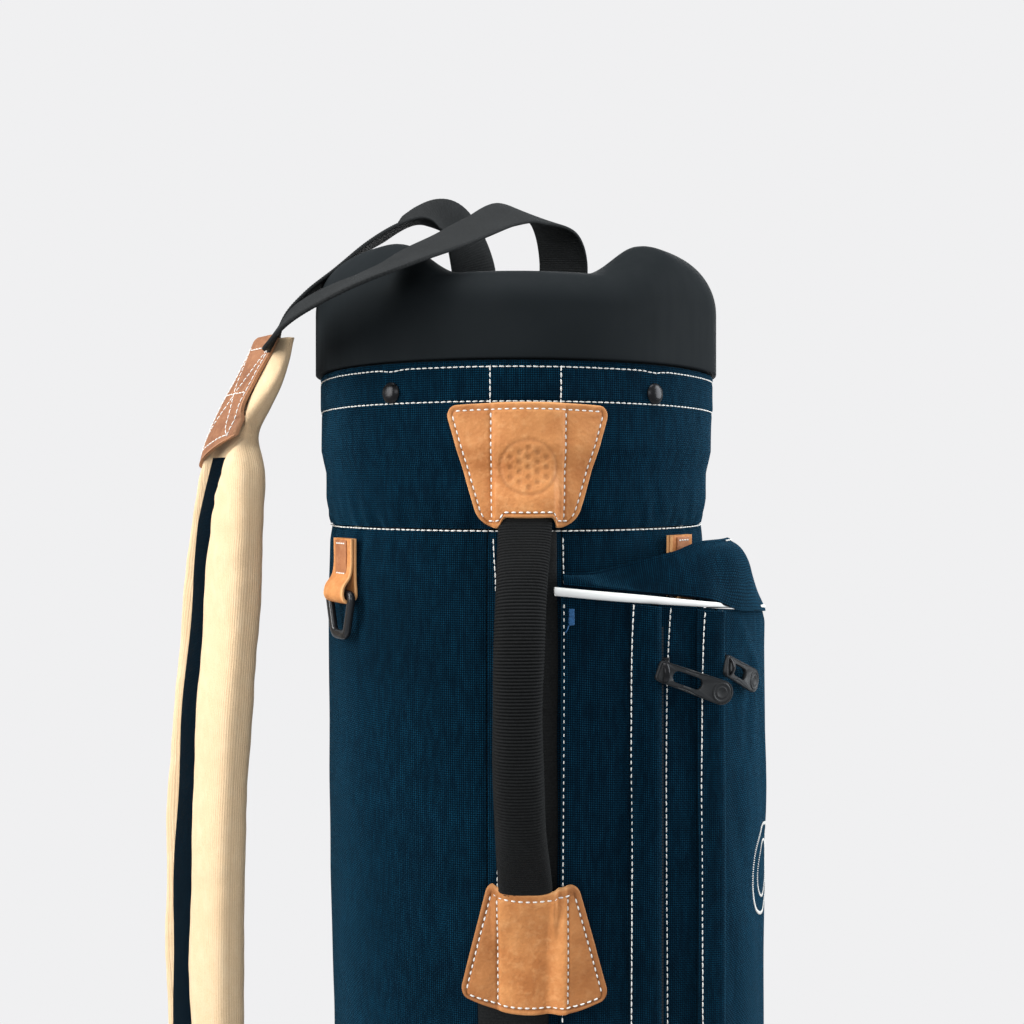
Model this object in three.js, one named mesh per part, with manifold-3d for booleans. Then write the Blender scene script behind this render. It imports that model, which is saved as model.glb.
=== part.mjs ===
// A golf carry bag: canvas tube on a stiff liner, moulded collar, handle, side pocket, shoulder strap.
// Millimetres, +Z up. The origin is on the floor under the tube's axis, and the handle faces -Y.
import * as THREE from 'three';
import Module from 'manifold-3d';
import { mergeVertices } from 'three/addons/utils/BufferGeometryUtils.js';

const wasm = await Module();
wasm.setup();

// ---- driving dimensions ----
const GAP = 0.4; // clearance between touching pieces
const COLLAR_RADIUS = 115.3;
const COLLAR_INSIDE = 79;
const COLLAR_BOTTOM = 780;
const COLLAR_WALL = 3.5;
const LIP_RADIUS = 7;
const COLLAR_SHOULDER = 855; // where the outer wall starts to roll in
const RIM_TOP = 886.5;
const RIM_DIP = 19.5; // how far the rim drops over the handle and behind it
const DIP_FLAT = 20; // half angle of the flat of the dip, degrees
const DIP_END = 48; // half angle where the rim is back at full height, degrees
const BAND_TOP = 820;
const BAND_BOTTOM = 737;
const BAND_RADIUS = 112.4;
const CANVAS = 1.6; // canvas and lining thickness
const TUBE_RADIUS = 96.5;
const TUBE_WALL = 2.5;
const STAY_RADIUS = 2.5;
const STAY_CIRCLE = TUBE_RADIUS + STAY_RADIUS + 0.6;
const BASE_RADIUS = 108;
const BASE_HEIGHT = 60;
const WEAR_PAD = 2.7;
const CUP_FLOOR = 5;
const DIVIDER_RING_TOP = 842;
const DIVIDER_RING_HEIGHT = 30;
const DIVIDER_BOTTOM = WEAR_PAD + CUP_FLOOR + 12;
const SNAP_RADIUS = 5.25;
const LEATHER = 2;
const WEBBING = 2;
const STRAP_WEBBING_WIDTH = 38;
const SPINE_WEBBING_WIDTH = 34;
const GRIP_WIDTH = 25.4;
const GRIP_TOP = 735;
const GRIP_BOTTOM = 567;
const POCKET_FLOOR = 130;
const POCKET_EDGE = 707; // height of the piping where the pocket starts
const POCKET_SLOPE = 0.105; // how much the piping drops per millimetre round the pocket
const ZIP_DISTANCES = [50.5, 87]; // from the pocket's front seam, along its wall
const ZIP_WIDTH = 7;
const ZIP_TOP = 690;
const ZIP_BOTTOM = 142;
const SLIDER_HEIGHT = 667;
const PULL_DROOP = -20.5; // degrees below level
const STRAP_Y = -35;
const STRAP_FACE_ANGLE = -52.4; // heading of the strap's outer face, degrees from -Y
const PAD_HALF_WIDTH = 36;
const PAD_HALF_THICKNESS = 13;

// Outer radius of the canvas tube at a few heights.
const BODY_PROFILE = [
  [62, 104.4],
  [465, 104.8],
  [540, 107],
  [620, 108.3],
  [700, 108.2],
  [736, 105.6],
];
// Outer radius of the top band.
const BAND_PROFILE = [
  [BAND_BOTTOM, 105.8],
  [752, 109],
  [775, BAND_RADIUS],
  [BAND_TOP, BAND_RADIUS],
];

// ---- materials ----
const finish = (color, roughness, metalness = 0) =>
  new THREE.MeshStandardMaterial({ color, roughness, metalness });
const materials = {
  moulded: finish(0x292e31, 0.55),
  canvas: finish(0x0c2433, 0.9),
  lining: finish(0x3a3d40, 0.95),
  liner: finish(0x1d2023, 0.7),
  leather: finish(0xd9915a, 0.85),
  webbing: finish(0x202324, 0.85),
  velour: finish(0xe8cfa8, 0.95),
  piping: finish(0xece9e2, 0.6),
  metal: finish(0x1b1c1e, 0.35, 0.8),
  rubber: finish(0x141516, 0.8),
  fibreglass: finish(0xbdb8a6, 0.5),
};

// ---- helpers ----
const rad = THREE.MathUtils.degToRad;
const { lerp, smoothstep } = THREE.MathUtils;
const V = (x, y, z) => new THREE.Vector3(x, y, z);

// A point at a radius and a heading from -Y towards +X.
const polar = (radius, heading, z) =>
  V(radius * Math.sin(rad(heading)), -radius * Math.cos(rad(heading)), z);

function alongProfile(profile, z) {
  for (let i = 1; i < profile.length; i += 1) {
    const [z0, r0] = profile[i - 1];
    const [z1, r1] = profile[i];
    if (z <= z1) return lerp(r0, r1, Math.max(0, (z - z0) / (z1 - z0)));
  }
  return profile.at(-1)[1];
}
const bodyRadius = (z) => alongProfile(BODY_PROFILE, z);
const bandRadius = (z) => alongProfile(BAND_PROFILE, z);

function fromFaces(points, faces) {
  const geometry = new THREE.BufferGeometry().setFromPoints(points);
  let sixVolumes = 0;
  for (const [a, b, c] of faces) {
    sixVolumes += points[a].dot(points[b].clone().cross(points[c]));
  }
  const outward = sixVolumes < 0 ? faces.map(([a, b, c]) => [a, c, b]) : faces;
  return geometry.setIndex(outward.flat());
}

// A solid between two surfaces over u and v in 0..1. With wrap, u closes on itself.
function slab(uSteps, vSteps, outer, inner, wrap = false) {
  const columns = wrap ? uSteps : uSteps + 1;
  const rows = vSteps + 1;
  const points = [];
  for (const surface of [outer, inner]) {
    for (let i = 0; i < columns; i += 1) {
      for (let j = 0; j < rows; j += 1) points.push(surface(i / uSteps, j / vSteps));
    }
  }
  const at = (side, i, j) => (side * columns + (i % columns)) * rows + j;
  const faces = [];
  const quad = (a, b, c, d) => faces.push([a, b, c], [a, c, d]);
  for (let i = 0; i < uSteps; i += 1) {
    for (let j = 0; j < vSteps; j += 1) {
      quad(at(0, i, j), at(0, i + 1, j), at(0, i + 1, j + 1), at(0, i, j + 1));
      quad(at(1, i, j), at(1, i, j + 1), at(1, i + 1, j + 1), at(1, i + 1, j));
    }
    quad(at(0, i, 0), at(1, i, 0), at(1, i + 1, 0), at(0, i + 1, 0));
    quad(at(0, i, vSteps), at(0, i + 1, vSteps), at(1, i + 1, vSteps), at(1, i, vSteps));
  }
  if (!wrap) {
    for (let j = 0; j < vSteps; j += 1) {
      quad(at(0, 0, j), at(0, 0, j + 1), at(1, 0, j + 1), at(1, 0, j));
      quad(at(0, uSteps, j), at(1, uSteps, j), at(1, uSteps, j + 1), at(0, uSteps, j + 1));
    }
  }
  return fromFaces(points, faces);
}

// A solid through a row of rings with the same number of points, capped at both ends.
function loft(rings) {
  const sides = rings[0].length;
  const points = rings.flat();
  const faces = [];
  for (let i = 0; i + 1 < rings.length; i += 1) {
    for (let j = 0; j < sides; j += 1) {
      const k = (j + 1) % sides;
      const [a, b] = [i * sides + j, i * sides + k];
      faces.push([a, b, b + sides], [a, b + sides, a + sides]);
    }
  }
  for (const [ring, first, turn] of [
    [rings[0], 0, 1],
    [rings.at(-1), (rings.length - 1) * sides, 0],
  ]) {
    const middle = points.length;
    points.push(ring.reduce((sum, p) => sum.add(p), V(0, 0, 0)).divideScalar(sides));
    for (let j = 0; j < sides; j += 1) {
      const pair = [first + j, first + ((j + 1) % sides)];
      faces.push([middle, pair[turn], pair[1 - turn]]);
    }
  }
  return fromFaces(points, faces);
}

function toSolid(geometry) {
  const bare = geometry.index ? geometry.toNonIndexed() : geometry.clone();
  bare.deleteAttribute('normal');
  bare.deleteAttribute('uv');
  const merged = mergeVertices(bare, 1e-4);
  const mesh = new wasm.Mesh({
    numProp: 3,
    vertProperties: merged.attributes.position.array,
    triVerts: new Uint32Array(merged.index.array),
  });
  return new wasm.Manifold(mesh);
}

function toGeometry(solid) {
  const { vertProperties, triVerts } = solid.getMesh();
  return new THREE.BufferGeometry()
    .setAttribute('position', new THREE.BufferAttribute(vertProperties, 3))
    .setIndex(new THREE.BufferAttribute(triVerts, 1));
}
const join = (first, ...rest) =>
  toGeometry(rest.reduce((sum, g) => sum.add(toSolid(g)), toSolid(first)));
const cut = (first, ...rest) =>
  toGeometry(rest.reduce((left, g) => left.subtract(toSolid(g)), toSolid(first)));

const box = (x, y, z, cx = 0, cy = 0, cz = 0) =>
  new THREE.BoxGeometry(x, y, z).translate(cx, cy, cz);
const lathe = (profile, segments) =>
  new THREE.LatheGeometry(
    profile.map(([r, z]) => new THREE.Vector2(r, z)),
    segments,
  ).rotateX(Math.PI / 2);
const extrude = (shape, depth, curveSegments = 8) =>
  new THREE.ExtrudeGeometry(shape, { depth, bevelEnabled: false, curveSegments });

const bag = new THREE.Group();
function add(name, geometry, material, parent = bag) {
  const mesh = new THREE.Mesh(geometry, materials[material]);
  mesh.name = name;
  parent.add(mesh);
}

// A group whose -Y axis points along a heading, at a place on the XY plane.
function facing(heading, x = 0, y = 0, z = 0) {
  const group = new THREE.Group();
  group.rotation.z = rad(heading);
  group.position.set(x, y, z);
  bag.add(group);
  return group;
}

// ---- collar and dividers ----
// 1 in the dips over the handle and opposite it, 0 at full height.
function dipShare(heading) {
  const fromFront = Math.abs(((heading + 540) % 360) - 180);
  const fromDip = Math.min(fromFront, 180 - fromFront);
  return 1 - smoothstep(fromDip, DIP_FLAT, DIP_END);
}

// The collar's wall is a shell, an upside-down channel: outside face, rolled rim, inside face.
function addCollar() {
  const neck = BAND_RADIUS - CANVAS - GAP;
  const reach = COLLAR_RADIUS - COLLAR_INSIDE - LIP_RADIUS;
  const rise = RIM_TOP - COLLAR_SHOULDER;
  const roll = (inset, steps) =>
    steps.map((step) => [
      COLLAR_RADIUS - inset - (reach - inset) * (1 - Math.cos(rad(step))),
      COLLAR_SHOULDER + (rise - inset) * Math.sin(rad(step)),
    ]);
  const outside = [
    [neck, COLLAR_BOTTOM],
    [neck, BAND_TOP + GAP],
    [COLLAR_RADIUS - 0.8, BAND_TOP + GAP],
    [COLLAR_RADIUS, BAND_TOP + 1.5],
    [COLLAR_RADIUS, COLLAR_SHOULDER],
    ...roll(0, [18, 36, 54, 72, 90]),
    [COLLAR_INSIDE + 2, RIM_TOP - 2],
    [COLLAR_INSIDE, RIM_TOP - LIP_RADIUS],
    [COLLAR_INSIDE, COLLAR_BOTTOM + 26],
    [94.5, COLLAR_BOTTOM + 8],
  ];
  const inside = [
    [94.5, COLLAR_BOTTOM + 14],
    [COLLAR_INSIDE + COLLAR_WALL, COLLAR_BOTTOM + 29],
    [COLLAR_INSIDE + COLLAR_WALL, RIM_TOP - LIP_RADIUS - COLLAR_WALL],
    ...roll(COLLAR_WALL, [81, 54, 27, 0]),
    [neck - COLLAR_WALL, BAND_TOP - 4],
    [neck - COLLAR_WALL, COLLAR_BOTTOM],
  ];
  const profile = [...outside, ...inside];
  const around = 60; // the same facets as the band
  const rings = profile.length;
  const points = [];
  const faces = [];
  for (let i = 0; i < around; i += 1) {
    const heading = (360 * i) / around;
    for (const [radius, z] of profile) {
      const above = Math.max(0, z - COLLAR_SHOULDER) / rise;
      points.push(polar(radius, heading, z - above * RIM_DIP * dipShare(heading)));
    }
  }
  for (let i = 0; i < around; i += 1) {
    for (let j = 0; j < rings; j += 1) {
      const next = ((i + 1) % around) * rings;
      const k = (j + 1) % rings;
      faces.push([i * rings + j, next + j, next + k], [i * rings + j, next + k, i * rings + k]);
    }
  }
  add('collar', fromFaces(points, faces), 'moulded');
}

function addDividers() {
  const ringOutside = COLLAR_INSIDE - 0.7;
  const ringInside = 74;
  const ringBottom = DIVIDER_RING_TOP - DIVIDER_RING_HEIGHT;
  const ring = lathe(
    [
      [ringInside, ringBottom],
      [ringOutside, ringBottom],
      [ringOutside, DIVIDER_RING_TOP],
      [ringInside, DIVIDER_RING_TOP],
      [ringInside, ringBottom],
    ],
    48,
  );
  const barMiddle = DIVIDER_RING_TOP - DIVIDER_RING_HEIGHT / 2 - 1;
  const barLength = 2 * ringInside + 3;
  const barHeight = DIVIDER_RING_HEIGHT - 2;
  const foreAftBar = box(8, barLength, barHeight, 0, 0, barMiddle);
  const crossBar = box(barLength, 8, barHeight, 0, 0, barMiddle);
  add('divider_frame', join(ring, foreAftBar, crossBar), 'moulded');

  // Each fabric divider is wide in the tube and narrow inside the collar.
  const tubeReach = TUBE_RADIUS - TUBE_WALL - 1;
  const collarReach = COLLAR_INSIDE - 4;
  const top = ringBottom - GAP;
  const neck = COLLAR_BOTTOM - 4;
  const half = (near) => {
    const shape = new THREE.Shape();
    shape.moveTo(near, DIVIDER_BOTTOM);
    shape.lineTo(tubeReach, DIVIDER_BOTTOM);
    shape.lineTo(tubeReach, neck);
    shape.lineTo(collarReach, neck + 1);
    shape.lineTo(collarReach, top);
    shape.lineTo(near, top);
    return extrude(shape, CANVAS).rotateX(Math.PI / 2).translate(0, CANVAS / 2, 0);
  };
  const near = CANVAS / 2 + GAP;
  add('divider_right', half(near), 'lining');
  add('divider_left', half(near).rotateZ(Math.PI), 'lining');
  const foreAft = join(half(-1), half(-1).rotateZ(Math.PI)).rotateZ(Math.PI / 2);
  add('divider_fore_aft', foreAft, 'lining');
}

// ---- tube, stays and base ----
function addTube() {
  const bottom = WEAR_PAD + CUP_FLOOR + GAP;
  const top = COLLAR_BOTTOM - GAP;
  const profile = [
    [TUBE_RADIUS - TUBE_WALL, bottom],
    [TUBE_RADIUS, bottom],
    [TUBE_RADIUS, top],
    [TUBE_RADIUS - TUBE_WALL, top],
    [TUBE_RADIUS - TUBE_WALL, bottom],
  ];
  add('inner_tube', lathe(profile, 48), 'liner');
  [60, 180, 300].forEach((heading, i) => {
    const stay = new THREE.CylinderGeometry(STAY_RADIUS, STAY_RADIUS, top - bottom - 2, 10)
      .rotateX(Math.PI / 2)
      .translate(0, -STAY_CIRCLE, (top + bottom) / 2);
    add(`stay_rod_${i + 1}`, stay, 'fibreglass', facing(heading));
  });
}

function addBase() {
  const floorTop = WEAR_PAD + CUP_FLOOR;
  const cup = [
    [0, WEAR_PAD + GAP],
    [BASE_RADIUS - 7, WEAR_PAD + GAP],
    [BASE_RADIUS - 2, WEAR_PAD + 3],
    [BASE_RADIUS, WEAR_PAD + 8],
    [BASE_RADIUS, BASE_HEIGHT - 1],
    [BASE_RADIUS - 1, BASE_HEIGHT],
    [BASE_RADIUS - 3, BASE_HEIGHT],
    [BASE_RADIUS - 3, floorTop],
    [0, floorTop],
  ];
  add('base_cup', lathe(cup, 48), 'moulded');
  const pad = [
    [0, 0],
    [BASE_RADIUS - 10, 0],
    [BASE_RADIUS - 9, 1],
    [BASE_RADIUS - 9, WEAR_PAD],
    [0, WEAR_PAD],
  ];
  add('base_wear_pad', lathe(pad, 48), 'rubber');
  [30, 120, 210, 300].forEach((heading, i) => {
    const head = dome(4.5, 1.8).translate(0, -(BASE_RADIUS + 0.3), 36);
    add(`base_rivet_${i + 1}`, head, 'metal', facing(heading));
  });
}

// A domed disc whose flat back is at y = 0 and whose dome points along -Y.
function dome(radius, height) {
  const profile = [[0, 0], [radius, 0], [radius, height * 0.3]];
  profile.push([radius * 0.8, height * 0.72], [radius * 0.45, height * 0.95], [0, height]);
  return lathe(profile, 12).rotateX(Math.PI / 2);
}

// ---- canvas ----
function addCanvas() {
  const ring = (inset) => (u, v) => {
    const z = lerp(BAND_BOTTOM + GAP, BAND_TOP - GAP, v);
    return polar(bandRadius(z) - inset, 360 * u, z);
  };
  add('canvas_band', slab(60, 4, ring(0), ring(CANVAS), true), 'canvas');

  const seams = { spine: [-10, 10], right: [10, 128], back: [128, 232], left: [232, 350] };
  for (const [side, [from, to]] of Object.entries(seams)) {
    const panel = (inset) => (u, v) => {
      const z = lerp(62, BAND_BOTTOM - GAP, v);
      return polar(bodyRadius(z) - inset, lerp(from + 0.12, to - 0.12, u), z);
    };
    const steps = Math.round((to - from) / 8);
    add(`canvas_${side}_panel`, slab(steps, 7, panel(0), panel(CANVAS)), 'canvas');
  }
  [36, 108, 180, 252, 324].forEach((heading, i) => {
    const cap = dome(SNAP_RADIUS, 2.4).translate(0, -(BAND_RADIUS + 0.3), 805);
    add(`snap_cap_${i + 1}`, cap, 'metal', facing(heading));
  });
}

// ---- handle ----
// A leather patch on the tube: half widths at its foot and top, and the radius it lies on at a
// height and heading.
function patch(foot, top, halfFoot, halfTop, radiusAt) {
  const surface = (lift) => (u, v) => {
    const z = lerp(foot, top, v);
    const across = lerp(-1, 1, u) * lerp(halfFoot, halfTop, v);
    const heading = THREE.MathUtils.radToDeg(across / BODY_PROFILE[0][1]);
    return polar(radiusAt(z, heading) + lift, heading, z);
  };
  return slab(8, 4, surface(WEBBING + GAP + LEATHER), surface(WEBBING + GAP));
}

function addHandle() {
  add('handle_patch_upper', patch(738, 798, 24.5, 40, bandRadius), 'leather');
  // The lower patch laps over the front of the pocket.
  const lapped = (z, heading) =>
    lerp(bodyRadius(z), 112.8 + 0.22 * (heading - 9), smoothstep(heading, 5, 10));
  add('handle_patch_lower', patch(500, 564, 35.5, 21.5, lapped), 'leather');

  const spine = (lift) => (u, v) => {
    const z = lerp(62, BAND_BOTTOM - 1, v);
    const radius = bodyRadius(z) + lift;
    const across = lerp(-0.5, 0.5, u) * SPINE_WEBBING_WIDTH;
    return polar(radius, THREE.MathUtils.radToDeg(across / radius), z);
  };
  add('spine_webbing', slab(4, 8, spine(GAP + 1.5), spine(GAP)), 'webbing');

  const middle = (GRIP_TOP + GRIP_BOTTOM) / 2;
  const root = -(bodyRadius(middle) + WEBBING + GAP + 5);
  const bow = 21;
  const path = new THREE.CatmullRomCurve3([
    V(0, root, GRIP_TOP),
    V(0, root - bow * 0.72, GRIP_TOP - 34),
    V(0, root - bow, middle),
    V(0, root - bow * 0.72, GRIP_BOTTOM + 34),
    V(0, root, GRIP_BOTTOM),
  ]);
  const rings = [];
  const steps = 16;
  for (let i = 0; i <= steps; i += 1) {
    const share = i / steps;
    const centre = path.getPoint(share);
    const along = path.getTangent(share);
    const out = V(0, along.z, -along.y).normalize();
    const fatness = 4 + 4 * Math.sin(Math.PI * share);
    rings.push(ovalRing(centre, V(1, 0, 0), out, GRIP_WIDTH / 2, fatness, 12));
  }
  add('handle_grip', loft(rings), 'webbing');
}

// A ring of points round a centre, an oval with blunt sides.
function ovalRing(centre, across, out, halfAcross, halfOut, sides) {
  const ring = [];
  for (let i = 0; i < sides; i += 1) {
    const angle = (2 * Math.PI * (i + 0.5)) / sides;
    const [c, s] = [Math.cos(angle), Math.sin(angle)];
    const blunt = (x) => Math.sign(x) * Math.abs(x) ** 0.75;
    ring.push(
      centre
        .clone()
        .addScaledVector(across, halfAcross * blunt(c))
        .addScaledVector(out, halfOut * blunt(s)),
    );
  }
  return ring;
}

// ---- tabs and D-rings ----
const RING_BAR = 3.4;
const RING_HOLE = 2.9;

// A tapered loop in the XZ plane, its bar along X through the origin, hanging down.
function dRing(barLength, footLength, drop) {
  const bar = RING_BAR;
  const outline = new THREE.Shape();
  outline.moveTo(barLength / 2, bar / 2);
  outline.lineTo(-barLength / 2, bar / 2);
  outline.lineTo(-footLength / 2, -drop + 4);
  outline.quadraticCurveTo(-footLength / 2 + 1, -drop, -footLength / 2 + 5, -drop);
  outline.lineTo(footLength / 2 - 5, -drop);
  outline.quadraticCurveTo(footLength / 2 - 1, -drop, footLength / 2, -drop + 4);
  const hole = new THREE.Path();
  hole.moveTo(-barLength / 2 + bar + 0.4, -bar / 2);
  hole.lineTo(barLength / 2 - bar - 0.4, -bar / 2);
  hole.lineTo(footLength / 2 - bar - 1, -drop + bar);
  hole.lineTo(-footLength / 2 + bar + 1, -drop + bar);
  outline.holes.push(hole);
  return extrude(outline, RING_BAR, 4).rotateX(Math.PI / 2).translate(0, RING_BAR / 2, 0);
}

// A folded leather tab above a ring's bar, with the loop that the bar turns in.
function tab(width, height, backY) {
  const loopRadius = RING_HOLE + LEATHER;
  const loop = new THREE.CylinderGeometry(loopRadius, loopRadius, width, 16).rotateZ(Math.PI / 2);
  const leaf = box(width, 2 * LEATHER, height, 0, backY - LEATHER, height / 2);
  const bore = new THREE.CylinderGeometry(RING_HOLE, RING_HOLE, width + 2, 16).rotateZ(Math.PI / 2);
  return cut(join(leaf, loop), bore);
}

const HARDWARE = {
  left: { heading: -56.5, bar: 702, lean: 0 },
  right: { heading: 47.6, bar: 704, lean: 0 },
  lower: { heading: -71, bar: 190, lean: 200 },
};

function addRings() {
  for (const [side, { heading, bar, lean }] of Object.entries(HARDWARE)) {
    const loopRadius = RING_HOLE + LEATHER;
    const radius = bodyRadius(bar) + loopRadius + 0.8;
    const place = facing(heading);
    const pivot = new THREE.Group();
    pivot.position.set(0, -radius, bar);
    place.add(pivot);
    const width = 20;
    const flip = side === 'lower' ? Math.PI : 0;
    const leather = tab(width, 29, loopRadius - 0.2).rotateY(flip);
    add(`tab_${side}`, leather, 'leather', pivot);
    const ring = dRing(width + 10, 24, 22).rotateX(rad(lean));
    add(`d_ring_${side}`, ring, 'moulded', pivot);
  }
}

// ---- pocket ----
const POCKET_PLAN = new THREE.CatmullRomCurve3(
  [
    [17.6, -111.2],
    [36, -109.5],
    [58, -104.2],
    [80, -98.2],
    [94, -93.2],
    [103, -83],
    [124.5, -54],
    [142, -12],
    [147, 25],
    [135, 69],
    [104, 88],
    [56, 98],
  ].map(([x, y]) => V(x, y, 0)),
  false,
  'centripetal',
);
const POCKET_LENGTH = POCKET_PLAN.getLength();
const POCKET_WALL = 2.4;
const BACK_SEAM = 268;

function pocketPlace(distance) {
  const share = Math.min(1, distance / POCKET_LENGTH);
  const point = POCKET_PLAN.getPointAt(share);
  const along = POCKET_PLAN.getTangentAt(share);
  return { point, along, out: V(along.y, -along.x, 0) };
}
const pocketEdge = (distance) => POCKET_EDGE - POCKET_SLOPE * distance;

function pocketSurface(from, to, bottom, topDrop, lift) {
  return (u, v) => {
    const distance = lerp(from, to, u);
    const { point, out } = pocketPlace(distance);
    const z = lerp(bottom, pocketEdge(distance) - topDrop, v);
    return point.clone().addScaledVector(out, lift).setZ(z);
  };
}

function addPocketWalls() {
  const half = ZIP_WIDTH / 2 + GAP;
  const walls = {
    pocket_front_gusset: [0, ZIP_DISTANCES[0] - half, 9],
    pocket_middle_gusset: [ZIP_DISTANCES[0] + half, ZIP_DISTANCES[1] - half, 5],
    pocket_outer_panel: [ZIP_DISTANCES[1] + half, BACK_SEAM, 18],
    pocket_back_gusset: [BACK_SEAM + 0.5, POCKET_LENGTH, 8],
  };
  for (const [name, [from, to, steps]] of Object.entries(walls)) {
    const bottom = POCKET_FLOOR + 3;
    const outer = pocketSurface(from, to, bottom, 2.2, 0);
    const inner = pocketSurface(from, to, bottom, 2.2, -POCKET_WALL);
    add(name, slab(steps, 1, outer, inner), 'canvas');
  }
}

function addPocketFloor() {
  const outline = [];
  const steps = 30;
  for (let i = 0; i <= steps; i += 1) {
    const { point } = pocketPlace((POCKET_LENGTH * i) / steps);
    outline.push(new THREE.Vector2(point.x, point.y));
  }
  const first = THREE.MathUtils.radToDeg(Math.atan2(outline[0].x, -outline[0].y));
  const last = THREE.MathUtils.radToDeg(Math.atan2(outline.at(-1).x, -outline.at(-1).y));
  for (let i = 0; i <= 20; i += 1) {
    const { x, y } = polar(106.4, lerp(last, first, i / 20), 0);
    outline.push(new THREE.Vector2(x, y));
  }
  const floor = extrude(new THREE.Shape(outline), 2.6).translate(0, 0, POCKET_FLOOR);
  add('pocket_floor', floor, 'canvas');
}

// The roof climbs from the piping to the tube. Near the right tab its hem stands clear of the tube.
function addPocketRoof() {
  const roof = (lift) => (u, v) => {
    const distance = lerp(2, POCKET_LENGTH - 2, u);
    const { point } = pocketPlace(distance);
    const heading = THREE.MathUtils.radToDeg(Math.atan2(point.x, -point.y));
    const hemGap = 13 * (1 - smoothstep(Math.abs(heading - 52), 12, 30));
    const inside = polar(110.4 + hemGap, heading, 0);
    const crest = lerp(712, 731, smoothstep(heading, 12, 50));
    const hem = lerp(crest, 700, smoothstep(heading, 60, 145));
    const edge = pocketEdge(distance) + 2.2;
    const bulge = 7 * Math.sin(Math.PI * v) * smoothstep(heading, 20, 60);
    const z = lerp(edge, hem, v) + bulge + lift;
    return V(lerp(point.x, inside.x, v), lerp(point.y, inside.y, v), z);
  };
  add('pocket_roof', slab(26, 4, roof(2.2), roof(0)), 'canvas');
}

function addPiping() {
  const points = [];
  for (let distance = 1; distance <= BACK_SEAM; distance += 12) {
    const { point, out } = pocketPlace(distance);
    points.push(point.clone().addScaledVector(out, 0.3).setZ(pocketEdge(distance)));
  }
  const section = new THREE.Shape();
  section.absarc(0, 0, 1.5, 0, 2 * Math.PI);
  const tube = new THREE.ExtrudeGeometry(section, {
    steps: 40,
    curveSegments: 3,
    bevelEnabled: false,
    extrudePath: new THREE.CatmullRomCurve3(points),
  });
  add('pocket_piping', tube, 'piping');
}

// ---- zips ----
function zipSlider() {
  const body = box(9, 3, 13, 0, -1.5, 0);
  const post = new THREE.CylinderGeometry(1.4, 1.4, 7, 16).translate(0, -5, 0);
  const crown = new THREE.CylinderGeometry(3, 3, 1.4, 16).translate(0, -8.2, 0);
  return join(body, post, crown);
}

// A plate with an eye at the origin, a slot and a disc, pointing along +X.
function zipPull() {
  const plate = new THREE.Shape();
  plate.absarc(0, 0, 4.2, Math.PI / 2, (3 * Math.PI) / 2);
  plate.lineTo(22, -4);
  plate.absarc(33, 0, 6, -2.4, 2.4);
  plate.lineTo(22, 4);
  const eye = new THREE.Path();
  eye.absarc(0, 0, 1.8, 0, 2 * Math.PI, true);
  const slot = new THREE.Path();
  slot.absarc(17, 0, 1.6, -Math.PI / 2, Math.PI / 2);
  slot.absarc(8, 0, 1.6, Math.PI / 2, (3 * Math.PI) / 2);
  plate.holes.push(eye, slot);
  return extrude(plate, 2.2, 10).rotateX(Math.PI / 2).translate(0, -4.2, 0);
}

function addZips() {
  ZIP_DISTANCES.forEach((distance, i) => {
    const { point, out } = pocketPlace(distance);
    const heading = THREE.MathUtils.radToDeg(Math.atan2(out.x, -out.y));
    const zip = facing(heading, point.x, point.y);
    const height = ZIP_TOP - ZIP_BOTTOM;
    const chain = box(ZIP_WIDTH, POCKET_WALL, height, 0, POCKET_WALL / 2, (ZIP_TOP + ZIP_BOTTOM) / 2);
    add(`zipper_chain_${i + 1}`, chain, 'rubber', zip);

    const slider = new THREE.Group();
    slider.position.set(0, -GAP, SLIDER_HEIGHT);
    zip.add(slider);
    add(`zipper_slider_${i + 1}`, zipSlider(), 'metal', slider);
    add(`zipper_pull_${i + 1}`, zipPull().rotateY(rad(-PULL_DROOP)), 'rubber', slider);

    const [from, to] = [distance - 15, distance - 5.2];
    const flap = (lift) => pocketSurface(from, to, ZIP_BOTTOM - 6, 12, lift);
    add(`zipper_flap_${i + 1}`, slab(3, 1, flap(GAP + 1.2), flap(GAP)), 'canvas');
  });
}

// ---- shoulder strap ----
const STRAP_PATH = new THREE.CatmullRomCurve3(
  [
    [-134, 840],
    [-148, 806],
    [-157, 773],
    [-163, 696],
    [-168.5, 622],
    [-171.5, 548],
    [-171.5, 463],
    [-165, 380],
    [-150, 310],
    [-126, 262],
  ].map(([x, z]) => V(x, STRAP_Y, z)),
);
const STRAP_OUT = polar(1, STRAP_FACE_ANGLE, 0);
const STRAP_ACROSS = V(-STRAP_OUT.y, STRAP_OUT.x, 0);

// How full the pad is, from 0 at a sewn end to 1.
const padFullness = (share) => Math.min(smoothstep(share, 0, 0.15), smoothstep(1 - share, 0, 0.13));

function strapRing(share, shrink = 0) {
  const full = padFullness(share);
  const halfWidth = lerp(15, PAD_HALF_WIDTH, full) - shrink;
  const halfThickness = lerp(4, PAD_HALF_THICKNESS, full) - shrink;
  return ovalRing(
    STRAP_PATH.getPointAt(share),
    STRAP_ACROSS,
    STRAP_OUT,
    halfWidth,
    halfThickness,
    16,
  );
}

function strapPiece(from, to, steps) {
  const rings = [];
  for (let i = 0; i <= steps; i += 1) rings.push(strapRing(lerp(from, to, i / steps)));
  return loft(rings);
}

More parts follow.
